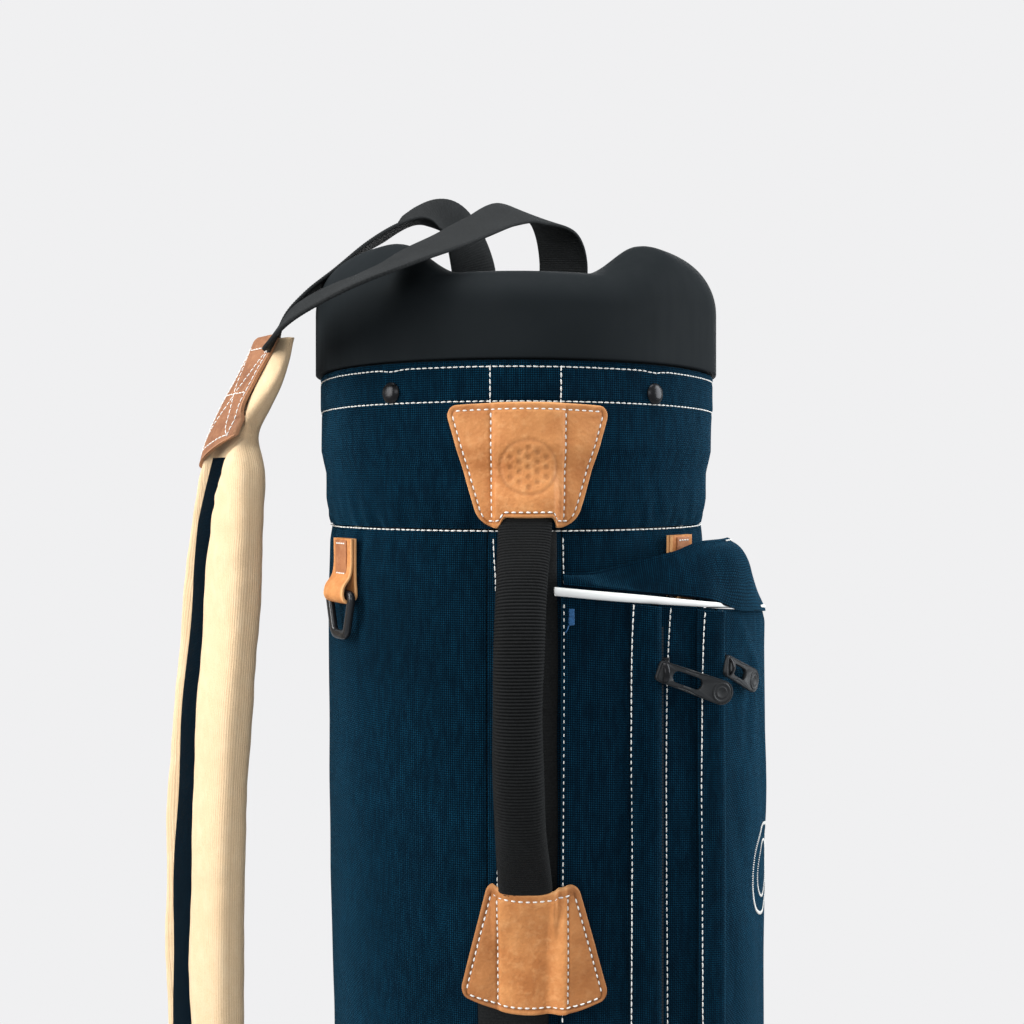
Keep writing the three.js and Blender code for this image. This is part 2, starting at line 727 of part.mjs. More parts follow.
// A flat tape through places, each with the direction of its width.
function tape(places, across, width, steps) {
  const path = new THREE.CatmullRomCurve3(places.map((p) => V(...p)));
  const sides = new THREE.CatmullRomCurve3(across.map((p) => V(...p)));
  const surface = (lift) => (u, v) => {
    const along = path.getTangent(v);
    const side = sides.getPoint(v).projectOnPlane(along).normalize();
    const normal = along.clone().cross(side);
    return path
      .getPoint(v)
      .addScaledVector(side, lerp(-0.5, 0.5, u) * width)
      .addScaledVector(normal, lift);
  };
  return slab(2, steps, surface(WEBBING / 2), surface(-WEBBING / 2));
}

function addStrap() {
  const leatherEnd = 0.115;
  const leatherStart = 0.93;
  const joint = 0.0007;
  add('strap_leather_top', strapPiece(0, leatherEnd, 5), 'leather');
  add('strap_pad', strapPiece(leatherEnd + joint, leatherStart - joint, 20), 'velour');
  add('strap_leather_bottom', strapPiece(leatherStart, 1, 4), 'leather');

  const strip = (lift) => (u, v) => {
    const share = lerp(leatherEnd + 0.004, leatherStart - 0.004, v);
    const across = lerp(-10, 10, u);
    const halfThickness = lerp(4, PAD_HALF_THICKNESS, padFullness(share));
    return STRAP_PATH.getPointAt(share)
      .addScaledVector(STRAP_ACROSS, across)
      .addScaledVector(STRAP_OUT, halfThickness + lift);
  };
  add('strap_face_strip', slab(2, 20, strip(GAP + 1.2), strip(GAP)), 'canvas');

  const front = tape(
    [
      [27, 63, 846],
      [30, 64, 872],
      [33, 61, 900],
      [26, 45, 918],
      [4, 14, 921],
      [-15, -25, 907],
      [-33, -62, 890],
      [-47, -92, 877],
      [-62, -110, 866],
      [-82, -117, 857],
      [-105, -104, 852],
      [-122, -80, 850],
      [-131.5, -50, 846.5],
    ],
    [
      [0.93, -0.37, 0],
      [0.93, -0.37, 0],
      [0.95, -0.3, 0],
      [0.86, -0.42, -0.2],
      [0.82, -0.42, -0.3],
      [0.91, -0.41, -0.08],
      [0.89, -0.44, 0.03],
      [0.84, -0.54, 0.07],
      [0.55, -0.83, 0.05],
      [0.2, -0.95, -0.1],
      [0.1, -0.9, -0.3],
      [-0.2, -0.8, -0.5],
      [-0.2, -0.7, -0.6],
    ],
    STRAP_WEBBING_WIDTH * 0.84,
    36,
  );
  add('strap_webbing_front', front, 'webbing');
  const rear = tape(
    [
      [-24, 63, 846],
      [-24, 65, 872],
      [-26, 64, 904],
      [-40, 51, 928],
      [-62, 28, 922],
      [-78, 12, 910],
      [-92, 0, 898],
      [-110, -10, 882],
      [-124, -20, 864],
      [-133, -27, 848],
    ],
    [
      [0.93, 0.37, 0],
      [0.93, 0.37, 0],
      [0.8, 0.5, 0.3],
      [0.4, 0.6, 0.7],
      [0.3, 0.75, 0.5],
      [0.2, 0.9, 0.3],
      [0.1, 1, 0.1],
      [0, 1, 0],
      [-0.3, 0.9, 0],
      [-0.6, 0.8, 0],
    ],
    STRAP_WEBBING_WIDTH * 0.84,
    30,
  );
  add('strap_webbing_rear', rear, 'webbing');
}

// The tape from the pad's foot to the lower ring, and the slide on it.
function addLowerStrap() {
  const foot = polar(bodyRadius(190) + 12.5, HARDWARE.lower.heading, 222);
  const top = V(-125.5, STRAP_Y, 258);
  const down = foot.clone().sub(top).normalize();
  const end = foot.clone().addScaledVector(down, -3);
  const side = STRAP_ACROSS.toArray();
  const points = [top, top.clone().lerp(end, 0.5), end].map((p) => p.toArray());
  add('strap_webbing_lower', tape(points, [side, side, side], 24, 6), 'webbing');

  const frame = new THREE.Shape();
  frame.moveTo(-15, -7);
  frame.lineTo(15, -7);
  frame.lineTo(15, 7);
  frame.lineTo(-15, 7);
  const window = new THREE.Path();
  window.moveTo(-12.6, -2);
  window.lineTo(12.6, -2);
  window.lineTo(12.6, 2);
  window.lineTo(-12.6, 2);
  frame.holes.push(window);
  const slide = extrude(frame, 4).translate(0, 0, -2);
  const normal = down.clone().cross(STRAP_ACROSS).normalize();
  const across = normal.clone().cross(down);
  const turn = new THREE.Matrix4().makeBasis(across, normal, down.clone());
  const middle = top.clone().lerp(end, 0.5);
  slide.applyMatrix4(turn.setPosition(middle));
  add('strap_adjuster', slide, 'moulded');
}

addCollar();
addDividers();
addTube();
addBase();
addCanvas();
addHandle();
addRings();
addPocketWalls();
addPocketFloor();
addPocketRoof();
addPiping();
addZips();
addStrap();
addLowerStrap();

export default bag;
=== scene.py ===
"""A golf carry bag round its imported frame: collar, canvas tube and pocket, leather, webbing and a strap.

Points are in millimetres until a mesh is made. A heading is in degrees from -Y towards +X, a lift is a
distance out of a surface, and a distance runs along the pocket's wall from its front seam.
"""

import math

import bmesh
import bpy
import numpy as np
from mathutils import Matrix, Vector


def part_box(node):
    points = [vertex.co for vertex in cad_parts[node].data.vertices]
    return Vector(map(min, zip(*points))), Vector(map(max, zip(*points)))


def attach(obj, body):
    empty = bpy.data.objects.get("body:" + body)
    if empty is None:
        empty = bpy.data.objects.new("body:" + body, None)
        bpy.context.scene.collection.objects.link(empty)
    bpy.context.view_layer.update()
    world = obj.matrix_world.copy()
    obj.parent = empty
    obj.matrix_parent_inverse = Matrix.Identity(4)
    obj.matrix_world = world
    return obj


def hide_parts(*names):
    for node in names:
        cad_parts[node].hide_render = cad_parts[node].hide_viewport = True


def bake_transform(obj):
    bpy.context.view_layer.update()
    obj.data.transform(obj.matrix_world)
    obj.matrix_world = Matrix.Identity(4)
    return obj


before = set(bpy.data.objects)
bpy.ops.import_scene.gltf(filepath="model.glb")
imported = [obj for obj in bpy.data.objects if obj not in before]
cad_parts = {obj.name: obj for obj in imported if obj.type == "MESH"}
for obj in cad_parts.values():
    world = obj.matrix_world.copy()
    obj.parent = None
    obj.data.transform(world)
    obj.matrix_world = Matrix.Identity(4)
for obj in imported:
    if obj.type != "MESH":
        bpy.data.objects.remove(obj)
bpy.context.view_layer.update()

MM = 0.001
X, Y, Z = range(3)


def low(node, axis):
    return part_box(node)[0][axis] / MM


def high(node, axis):
    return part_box(node)[1][axis] / MM


# ---- sizes, from the frame where a CAD node gives them ----
COLLAR_RADIUS = high("collar", X)
COLLAR_INSIDE = 79
COLLAR_SHOULDER = 855
LIP = 7
RIM_TOP = high("collar", Z)
RIM_DIP = 19.5
SINK_START = 824
DIP_FLAT = 20
DIP_END = 48
BAND_TOP = high("canvas_band", Z)
BAND_BOTTOM = low("canvas_band", Z)
BAND_RADIUS = high("canvas_band", X)
TUBE_RADIUS = high("inner_tube", X)
TUBE_TOP = high("inner_tube", Z)
BODY_FOOT = low("canvas_left_panel", Z)
BODY_TOP = high("canvas_left_panel", Z)
BASE_RADIUS = high("base_cup", X)
BASE_HEIGHT = high("base_cup", Z)
CANVAS = 1.6
THREAD_LIFT = 0.12
HEM_ROW = 816.4
LOW_ROW = 799.6
SNAP_HEIGHT = 805
SNAPS = (36, 108, 180, 252, 324)
SEAMS = {"spine": (-10, 10), "right": (10, 128), "back": (128, 232), "left": (232, 350)}
SPINE_ROW = 17.2
POCKET_EDGE = 707
POCKET_SLOPE = 0.105
POCKET_FLOOR = low("pocket_floor", Z)
POCKET_WALL = 2.4
BACK_SEAM = 268
ZIPS = (50.5, 87)
ZIP_TOP = high("zipper_chain_1", Z)
ZIP_BOTTOM = low("zipper_chain_1", Z)
SLIDER_HEIGHT = 667
SLIDER_LIFT = 0.4
SLOT_MIDDLE = 14
BADGE_DISTANCE = 152
BADGE_HEIGHT = 545
BADGE_PITCH = 1.15
PULL_DROOP = -20.5
STRAP_Y = -35
STRAP_FACE = -52.4
# How far the strap pad goes to each side, and where its channel lies, by share of its length.
PAD_LEFT = ((0, 0.03, 0.07, 0.12, 0.18, 0.25, 0.32, 0.88, 1), (14, 15, 16.5, 21, 27, 32, 35.5, 35.5, 15))
PAD_RIGHT = ((0, 0.03, 0.05, 0.07, 0.1, 0.125, 0.18, 0.32, 0.88, 1),
             (20, 28, 29, 23, 10, 26, 32.5, 33.5, 34, 15))
STRIP_PLACE = ((0.1, 0.14, 0.18, 0.23, 1), (3.5, 0, -5.5, -7.8, -7.5))
PAD_HALF_THICKNESS = 13
LEATHER = 2
PATCH_LIFT = 2.0

# Heights, and the canvas's radius at each.
BODY_PROFILE = ((62, 465, 540, 620, 700, 728, 737), (104.4, 104.8, 107, 108.3, 108.2, 107, 105.4))
BAND_PROFILE = ((737, 741, 752, 766, 772, 778, 820), (105.6, 107.4, 109.2, 109.6, 111, 112.3, 112.4))


# ---- small maths ----
def polar(radius, heading, z):
    angle = np.radians(heading)
    parts = np.broadcast_arrays(radius * np.sin(angle), -radius * np.cos(angle), z)
    return np.stack(parts, axis=-1).astype(float)


def lerp(a, b, t):
    return a + (b - a) * t


def ease(x, start, end):
    t = np.clip((np.asarray(x, float) - start) / (end - start), 0, 1)
    return t * t * (3 - 2 * t)


def hump(x, middle, width):
    return np.exp(-(((x - middle) / width) ** 2))


def unit(vectors):
    vectors = np.asarray(vectors, float)
    return vectors / np.maximum(np.linalg.norm(vectors, axis=-1, keepdims=True), 1e-9)


def ripple(points, scale, seed, stretch=(1, 1, 1), waves=12):
    """Smooth noise of about +-1 over points, from seeded waves of about that length."""
    rng = np.random.default_rng(seed)
    headings = unit(rng.normal(size=(waves, 3)))
    pulse = 2 * math.pi / (scale * rng.uniform(0.7, 1.5, (waves, 1)))
    shifts = rng.uniform(0, 2 * math.pi, waves)
    return np.sin((points * np.array(stretch)) @ (headings * pulse).T + shifts).sum(-1) / math.sqrt(waves)


class Curve:
    """A centripetal Catmull-Rom curve through points."""

    def __init__(self, points, fine=24):
        p = np.array(points, float)
        p = np.vstack([2 * p[0] - p[1], p, 2 * p[-1] - p[-2]])
        t = np.linspace(0, 1, fine, endpoint=False)[:, None]
        samples = []
        for a, b, c, d in zip(p, p[1:], p[2:], p[3:]):
            before, here, after = (math.sqrt(np.linalg.norm(m - n)) for m, n in ((b, a), (c, b), (d, c)))
            leave = ((b - a) / before - (c - a) / (before + here) + (c - b) / here) * here
            arrive = ((c - b) / here - (d - b) / (here + after) + (d - c) / after) * here
            cubic = (2 * b - 2 * c + leave + arrive) * t**3
            square = (-3 * b + 3 * c - 2 * leave - arrive) * t**2
            samples.append(cubic + square + leave * t + b)
        self.samples = np.vstack([*samples, p[-2:-1]])
        steps = np.linalg.norm(np.diff(self.samples, axis=0), axis=1)
        self.along = np.concatenate([[0], np.cumsum(steps)])
        self.knots = self.along[::fine]
        self.length = self.along[-1]

    def at(self, distance):
        return np.stack([np.interp(distance, self.along, column) for column in self.samples.T], axis=-1)

    def tangent(self, distance):
        return unit(self.at(np.asarray(distance) + 0.6) - self.at(np.asarray(distance) - 0.6))


# ---- mesh building ----
class Form:
    """Points, faces, texture places and two marks per point, gathered before they become one mesh."""

    def __init__(self):
        self.points, self.faces, self.uvs, self.marks, self.count = [], [], [], [], 0

    def add(self, points, faces, uvs=None, marks=None):
        points = np.asarray(points, float).reshape(-1, 3)
        faces = [[n + self.count for n in face] for face in np.asarray(faces, object).tolist()]
        corners = sum(len(face) for face in faces)
        self.points.append(points)
        self.faces.extend(faces)
        self.uvs.append(np.zeros((corners, 2)) if uvs is None else np.asarray(uvs, float).reshape(-1, 2))
        self.marks.append(np.zeros((len(points), 2)) if marks is None else marks)
        self.count += len(points)

    def move(self, place):
        self.points = [place(points) for points in self.points]


def make(form, name, material, body="root", replaces=(), sharp=40, outward=True):
    mesh = bpy.data.meshes.new(name)
    mesh.from_pydata((np.concatenate(form.points) * MM).tolist(), [], form.faces)
    layer = mesh.uv_layers.new(name="UVMap")
    layer.data.foreach_set("uv", (np.concatenate(form.uvs) * MM).ravel())
    marks = np.concatenate(form.marks)
    for column, label in enumerate(("edge", "press_and_painted_shade")):
        mesh.attributes.new(label, "FLOAT", "POINT").data.foreach_set("value", marks[:, column])
    if outward:
        work = bmesh.new()
        work.from_mesh(mesh)
        bmesh.ops.recalc_face_normals(work, faces=work.faces)
        work.to_mesh(mesh)
        work.free()
    mesh.shade_smooth()
    mesh.set_sharp_from_angle(angle=math.radians(sharp))
    mesh.materials.append(material)
    piece = bpy.data.objects.new(name, mesh)
    bpy.context.scene.collection.objects.link(piece)
    if body:
        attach(piece, body)
    if replaces:
        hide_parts(*([replaces] if isinstance(replaces, str) else replaces))
    return piece


def sew(rows, name, body="root"):
    """Makes a form of stitches into one piece of white thread."""
    make(rows, name, WHITE_THREAD, body, outward=False)


def run_lengths(points, axis):
    """How far each row or column of a grid of points is along that axis, averaged over the other."""
    steps = np.linalg.norm(np.diff(points, axis=axis), axis=-1).mean(axis=1 - axis)
    return np.concatenate([[0], np.cumsum(steps)])


def shell(form, outer, inner, u_values, v_values, wrap=False, mark=None):
    """A closed solid between two surfaces of u and v. With wrap, the last u is the first one again."""
    u, v = np.meshgrid(u_values, v_values, indexing="ij")
    sheets = [outer(u, v), inner(u, v)]
    columns = len(u_values) - (1 if wrap else 0)
    rows = len(v_values)
    across, up = run_lengths(sheets[0], 0), run_lengths(sheets[0], 1)

    def number(side, i, j):
        return (side * columns + i % columns) * rows + j

    faces, uvs = [], []

    def quads(corners):
        faces.append(np.stack([number(*corner).ravel() for corner in corners], axis=1))
        places = [np.stack([across[i].ravel(), up[j].ravel()], axis=1) for _, i, j in corners]
        uvs.append(np.stack(places, axis=1))

    i, j = np.meshgrid(np.arange(len(u_values) - 1), np.arange(rows - 1), indexing="ij")
    zero = np.zeros_like(i)
    quads([(zero, i, j), (zero, i + 1, j), (zero, i + 1, j + 1), (zero, i, j + 1)])
    quads([(zero + 1, i, j), (zero + 1, i, j + 1), (zero + 1, i + 1, j + 1), (zero + 1, i + 1, j)])
    i = np.arange(len(u_values) - 1)
    for j, flip in ((np.zeros_like(i), 1), (np.full_like(i, rows - 1), -1)):
        o = np.zeros_like(i)
        quads([(o, i, j), (o + 1, i, j), (o + 1, i + 1, j), (o, i + 1, j)][::flip])
    if not wrap:
        j = np.arange(rows - 1)
        for i, flip in ((np.zeros_like(j), 1), (np.full_like(j, columns - 1), -1)):
            o = np.zeros_like(j)
            quads([(o, i, j), (o, i, j + 1), (o + 1, i, j + 1), (o + 1, i, j)][::flip])
    points = np.concatenate([sheet[:columns].reshape(-1, 3) for sheet in sheets])
    marks = None
    if mark is not None:
        side = mark(u, v)[:columns].reshape(-1, 2)
        marks = np.concatenate([side, side])
    form.add(points, np.concatenate(faces), np.concatenate(uvs), marks)


def tube(form, rings, closed=False):
    """A solid through rings of points (n, m, 3), capped at both ends unless it closes on itself."""
    n, m = rings.shape[:2]
    count = n if closed else n - 1
    i, j = (a.ravel() for a in np.meshgrid(np.arange(count), np.arange(m), indexing="ij"))
    around = np.concatenate([rings, rings[:, :1]], axis=1)
    across = run_lengths(around, 1)
    along = run_lengths(np.concatenate([rings, rings[:1]]) if closed else rings, 0)
    corners = [(i, j), (i, j + 1), (i + 1, j + 1), (i + 1, j)]
    faces = np.stack([(a % n) * m + b % m for a, b in corners], axis=1).tolist()
    uvs = np.stack([np.stack([across[b], along[a]], axis=1) for a, b in corners], axis=1).reshape(-1, 2)
    if not closed:
        faces += [list(range(m))[::-1], list(range((n - 1) * m, n * m))]
        uvs = np.concatenate([uvs, np.zeros((2 * m, 2))])
    form.add(rings, faces, uvs)


def bar(form, centres, across, out, section, closed=False):
    """A bar along centres, with a section (m, 2) or one for each centre (n, m, 2)."""
    section = np.broadcast_to(section, (len(centres), *np.shape(section)[-2:]))
    rings = centres[:, None] + section[..., :1] * across[:, None] + section[..., 1:] * out[:, None]
    tube(form, rings, closed)


def lathe(form, profile, steps, place=None):
    """A solid turned about Z from (radius, z) pairs, which run from axis to axis or close on themselves."""
    radii, heights = np.array(profile, float).T
    headings = np.linspace(0, 360, steps, endpoint=False)[:, None]
    rings = polar(radii, headings, heights)
    closed = radii[0] > 0
    if not closed:
        rings = np.transpose(rings[:, 1:-1], (1, 0, 2))
    tube(form, rings if place is None else place(rings), closed)


def superellipse(half_width, half_height, sides, power=0.75):
    angles = (np.arange(sides) + 0.5) * 2 * math.pi / sides
    c, s = np.cos(angles), np.sin(angles)
    across = half_width * np.sign(c) * np.abs(c) ** power
    return np.stack([across, half_height * np.sign(s) * np.abs(s) ** power], axis=-1)


def stretched(outline, half_width, half_height):
    """One section for each centre of a bar: the outline at those half sizes."""
    return outline * np.stack(np.broadcast_arrays(half_width, half_height), axis=-1)[:, None]


class Place:
    """Turns local points into the frame: x across, y inwards and z up, at a heading and radius."""

    def __init__(self, origin, heading, lean=0, pitch=0):
        turn = Matrix.Rotation(math.radians(heading), 3, "Z") @ Matrix.Rotation(math.radians(lean), 3, "X")
        self.turn = np.array(turn @ Matrix.Rotation(math.radians(pitch), 3, "Y"))
        self.origin = np.array(origin, float)

    def __call__(self, points):
        return np.asarray(points, float) @ self.turn.T + self.origin


def block(form, size, centre, bevel, place):
    """A box with rounded edges."""
    work = bmesh.new()
    bmesh.ops.create_cube(work, size=1, matrix=Matrix.Diagonal((*size, 1)))
    bmesh.ops.bevel(work, geom=list(work.edges), offset=bevel, segments=3, profile=0.5, affect="EDGES")
    points = np.array([v.co for v in work.verts]) + centre
    faces = [[v.index for v in face.verts] for face in work.faces]
    work.free()
    uvs = np.concatenate([points[face][:, [0, 2]] for face in faces])
    form.add(place(points), faces, uvs)


def stitches(form, points, outward, length=2.9, gap=0.4, width=0.68, height=0.38, seed=3):
    """Thread stitches along a line of points, each a small arched capsule that dips at its ends."""
    steps = np.linalg.norm(np.diff(points, axis=0), axis=1)
    along = np.concatenate([[0], np.cumsum(steps)])
    pitch = length + gap
    count = int((along[-1] - gap) // pitch)
    if count < 1:
        return
    rng = np.random.default_rng(seed)
    middles = (along[-1] - count * pitch + gap) / 2 + length / 2 + pitch * np.arange(count)
    halves = length / 2 * rng.uniform(0.93, 1.05, count)

    def at(values, where):
        return np.stack([np.interp(where, along, column) for column in np.asarray(values).T], axis=-1)

    start, end = at(points, middles - halves), at(points, middles + halves)
    out = unit(at(outward, middles))
    run = unit(end - start + np.cross(out, end - start) * rng.normal(0, 0.035, (count, 1)))
    side = np.cross(out, run)
    shares = np.array([-0.5, -0.42, -0.2, 0.2, 0.42, 0.5])
    thick = np.array([0.12, 0.7, 1, 1, 0.7, 0.12]) * width / 2
    rise = height * (1 - (2 * shares) ** 2) - 0.22
    angles = np.arange(6) * math.pi / 3
    lengthways = np.repeat(shares, 6)[:, None] * (2 * halves)[:, None, None] * run[:, None]
    sideways = np.outer(thick, np.cos(angles)).ravel()[:, None] * side[:, None]
    upwards = (np.outer(thick, np.sin(angles)).ravel() * 0.8 + np.repeat(rise, 6))[:, None] * out[:, None]
    all_points = ((start + end) / 2)[:, None] + lengthways + sideways + upwards
    quads = [[r * 6 + k, r * 6 + (k + 1) % 6, (r + 1) * 6 + (k + 1) % 6, (r + 1) * 6 + k]
             for r in range(5) for k in range(6)]
    one = quads + [list(range(6))[::-1], list(range(30, 36))]
    faces = [[n + 36 * i for n in face] for i in range(count) for face in one]
    form.add(all_points, faces)


# ---- materials ----
class Graph:
    """The nodes of one material, made and joined in one go."""

    def __init__(self, name):
        self.material = bpy.data.materials.new(name)
        self.material.use_nodes = True
        self.tree = self.material.node_tree
        self.shader = self.tree.nodes["Principled BSDF"]

    def put(self, socket, value):
        if isinstance(value, bpy.types.NodeSocket):
            self.tree.links.new(value, socket)
        elif isinstance(value, tuple) and len(value) == 3 and socket.type == "RGBA":
            socket.default_value = (*value, 1)
        else:
            socket.default_value = value

    def node(self, kind, inputs=None, **settings):
        made = self.tree.nodes.new("ShaderNode" + kind)
        for key, value in settings.items():
            setattr(made, key, value)
        for key, value in (inputs or {}).items():
            self.put(made.inputs[key], value)
        return made

    def math(self, operation, a, b=0.0):
        return self.node("Math", {0: a, 1: b}, operation=operation).outputs[0]

    def mix(self, share, a, b):
        made = self.node("Mix", {0: share, 6: a, 7: b}, data_type="RGBA")
        return made.outputs[2]

    def tint(self, colour, value, start, end, share, other):
        """The colour, drawn up to that share of the way to another as the value goes from start to end."""
        part = self.math("MULTIPLY", self.spread(value, start, end), share)
        return self.mix(part, colour, other)

    def place(self, stretch=(1, 1, 1)):
        here = self.node("TexCoord").outputs["Object"]
        return self.node("Mapping", {"Vector": here, "Scale": stretch}).outputs[0]

    def noise(self, scale, detail=3.0, rough=0.55, stretch=(1, 1, 1)):
        inputs = {"Vector": self.place(stretch), "Scale": scale, "Detail": detail, "Roughness": rough}
        return self.node("TexNoise", inputs).outputs["Fac"]

    def spread(self, value, start, end):
        """A value from 0 at start to 1 at end."""
        return self.node("MapRange", {"Value": value, "From Min": start, "From Max": end}).outputs[0]

    def attribute(self, name):
        return self.node("Attribute", attribute_name=name).outputs["Fac"]

    def bump(self, height, distance, strength=1.0, below=None):
        inputs = {"Height": height, "Distance": distance, "Strength": strength}
        if below is not None:
            inputs["Normal"] = below
        return self.node("Bump", inputs).outputs[0]

    def finish(self, **values):
        for key, value in values.items():
            self.put(self.shader.inputs[key.replace("_", " ")], value)
        return self.material


def canvas_material(name, dark, thread, light, pitch=1.1, sheen=0.22):
    """A basket weave of two sets of threads, over and under each other, with a slubby colour, painted shade
    in the gaps between threads and a painted highlight on the thread tops.
    """
    g = Graph(name)
    uv = g.node("UVMap").outputs[0]
    parts = g.node("SeparateXYZ", {0: uv})
    turn = math.pi / (pitch * MM)
    across = g.math("SINE", g.math("MULTIPLY", parts.outputs[0], turn))
    up = g.math("SINE", g.math("MULTIPLY", parts.outputs[1], turn))
    warp_on_top = g.math("GREATER_THAN", g.math("MULTIPLY", across, up), 0.0)
    warp, weft = g.math("ABSOLUTE", across), g.math("ABSOLUTE", up)
    one_on_top = g.node("Mix", {0: warp_on_top, 2: weft, 3: warp}, data_type="FLOAT").outputs[0]
    hump_along = g.math("MULTIPLY", warp, weft)
    height = g.math("ADD", g.math("MULTIPLY", one_on_top, 0.55), g.math("MULTIPLY", hump_along, 0.45))
    slub = g.noise(420.0, 2.0, stretch=(1, 1, 0.25))
    cloudy = g.noise(14.0, 3.0)
    # Painted shade: the colour darkens towards the gap colour where the threads dip between each other.
    colour = g.mix(g.spread(height, 0.12, 0.62), dark, thread)
    # Painted highlight: the highest thread tops go towards the light colour.
    painted_highlight = g.math("MULTIPLY", g.spread(height, 0.62, 0.98), g.spread(slub, 0.35, 0.75))
    colour = g.mix(painted_highlight, colour, light)
    colour = g.tint(colour, cloudy, 0.35, 0.7, 0.35, dark)
    normal = g.bump(height, 0.00035, 0.75, g.bump(slub, 0.0002, 0.3))
    return g.finish(Base_Color=colour, Roughness=0.95, Specular_IOR_Level=0.03, Normal=normal,
                    Sheen_Weight=sheen, Sheen_Roughness=0.28, Sheen_Tint=(0.12, 0.5, 0.85))


def leather_material(name, base, light, dark):
    """Nubuck: a matt nap with cloudy rubbed places, a pale raw edge, darker stamped parts, and painted shade
    in stitch grooves and on the patches' side wings.
    """
    g = Graph(name)
    cloudy, patchy, fine = g.noise(55.0, 5.0, 0.62), g.noise(260.0, 4.0), g.noise(2600.0, 2.0)
    colour = g.mix(g.spread(cloudy, 0.36, 0.66), dark, base)
    colour = g.tint(colour, patchy, 0.5, 0.75, 0.45, light)
    colour = g.tint(colour, fine, 0.35, 0.75, 0.22, dark)
    colour = g.mix(g.attribute("edge"), colour, light)
    # Darker where the leather is stamped, and painted shade in the patches' stitch grooves and on their
    # wings.
    colour = g.mix(g.attribute("press_and_painted_shade"), colour, tuple(c * 0.55 for c in dark))
    cells = g.node("TexVoronoi", {"Vector": g.place(), "Scale": 620.0}, feature="SMOOTH_F1")
    cells = cells.outputs["Distance"]
    normal = g.bump(fine, 0.00022, 0.4, g.bump(cells, 0.0006, 0.35, g.bump(patchy, 0.0007, 0.4)))
    return g.finish(Base_Color=colour, Roughness=0.62, Specular_IOR_Level=0.3, Normal=normal)


def webbing_material(name, dark, light):
    g = Graph(name)
    fine, worn = g.noise(2200.0, 2.0, stretch=(1, 1, 0.4)), g.noise(60.0, 3.0)
    colour = g.mix(g.spread(fine, 0.35, 0.7), dark, light)
    colour = g.tint(colour, worn, 0.45, 0.7, 0.3, light)
    normal = g.bump(fine, 0.0003, 0.6)
    return g.finish(Base_Color=colour, Roughness=0.75, Specular_IOR_Level=0.16, Normal=normal)


def velour_material():
    g = Graph("velour_pile")
    pile, streak, rubbed = g.noise(3200.0, 2.0), g.noise(240.0, 4.0, stretch=(1, 1, 0.5)), g.noise(26.0, 4.0)
    colour = g.mix(g.spread(pile, 0.3, 0.72), (0.66, 0.46, 0.27), (0.9, 0.67, 0.42))
    colour = g.tint(colour, streak, 0.45, 0.7, 0.3, (0.9, 0.73, 0.5))
    colour = g.tint(colour, rubbed, 0.42, 0.7, 0.35, (0.7, 0.5, 0.3))
    across = g.node("SeparateXYZ", {0: g.node("UVMap").outputs[0]}).outputs[0]
    ribs = g.math("SINE", g.math("MULTIPLY", across, 2 * math.pi / (1.15 * MM)))
    colour = g.tint(colour, ribs, 0.2, 1.0, 0.16, (0.6, 0.42, 0.24))
    normal = g.bump(pile, 0.0005, 0.6, g.bump(streak, 0.0008, 0.35, g.bump(ribs, 0.0002, 0.35)))
    return g.finish(Base_Color=colour, Roughness=0.95, Specular_IOR_Level=0.1, Normal=normal,
                    Sheen_Weight=0.2, Sheen_Roughness=0.5, Sheen_Tint=(1, 0.9, 0.75))


def moulded_material(name, dark, light, rough, grain=0.25, metallic=0.0, specular=0.4):
    """Moulded plastic or coated metal: a fine even grain, faint flow clouds and slight scuffs."""
    g = Graph(name)
    fine, cloud, scuff = g.noise(1500.0, 2.0), g.noise(20.0, 3.0), g.noise(160.0, 5.0, 0.7, (1, 1, 0.15))
    colour = g.mix(g.spread(cloud, 0.35, 0.7), dark, light)
    roughness = g.math("ADD", g.math("MULTIPLY", g.spread(scuff, 0.4, 0.75), 0.1), rough)
    return g.finish(Base_Color=colour, Roughness=roughness, Metallic=metallic, Specular_IOR_Level=specular,
                    Normal=g.bump(fine, 0.00012, grain))


def thread_material(name, pale, shade):
    g = Graph(name)
    twist = g.noise(2600.0, 2.0, stretch=(1, 1, 0.5))
    colour = g.mix(g.spread(twist, 0.3, 0.6), shade, pale)
    return g.finish(Base_Color=colour, Roughness=0.7, Normal=g.bump(twist, 0.0002, 0.5))


def lining_material():
    g = Graph("lining_cloth")
    fine, fold = g.noise(1800.0, 2.0), g.noise(18.0, 3.0)
    colour = g.mix(g.spread(fine, 0.3, 0.7), (0.02, 0.022, 0.025), (0.07, 0.075, 0.08))
    colour = g.tint(colour, fold, 0.4, 0.7, 0.4, (0.03, 0.033, 0.037))
    return g.finish(Base_Color=colour, Roughness=0.92, Normal=g.bump(fine, 0.0003, 0.5))


# In each weave the first colour is painted shade in the gaps between threads and also the cloudy mottle's
# colour, the second is the thread's own colour, and the third is a painted highlight on the thread tops.
CANVAS_CLOTH = canvas_material(
    "canvas_weave", (0.0002, 0.0018, 0.0038), (0.0012, 0.013, 0.027), (0.0042, 0.056, 0.108))
NAVY_CLOTH = canvas_material(
    "navy_strip_weave", (0.0003, 0.0012, 0.0025), (0.0008, 0.0045, 0.0085), (0.003, 0.013, 0.023), 0.8, 0.03)
NUBUCK = leather_material("nubuck", (0.6, 0.255, 0.083), (0.74, 0.38, 0.155), (0.42, 0.15, 0.04))
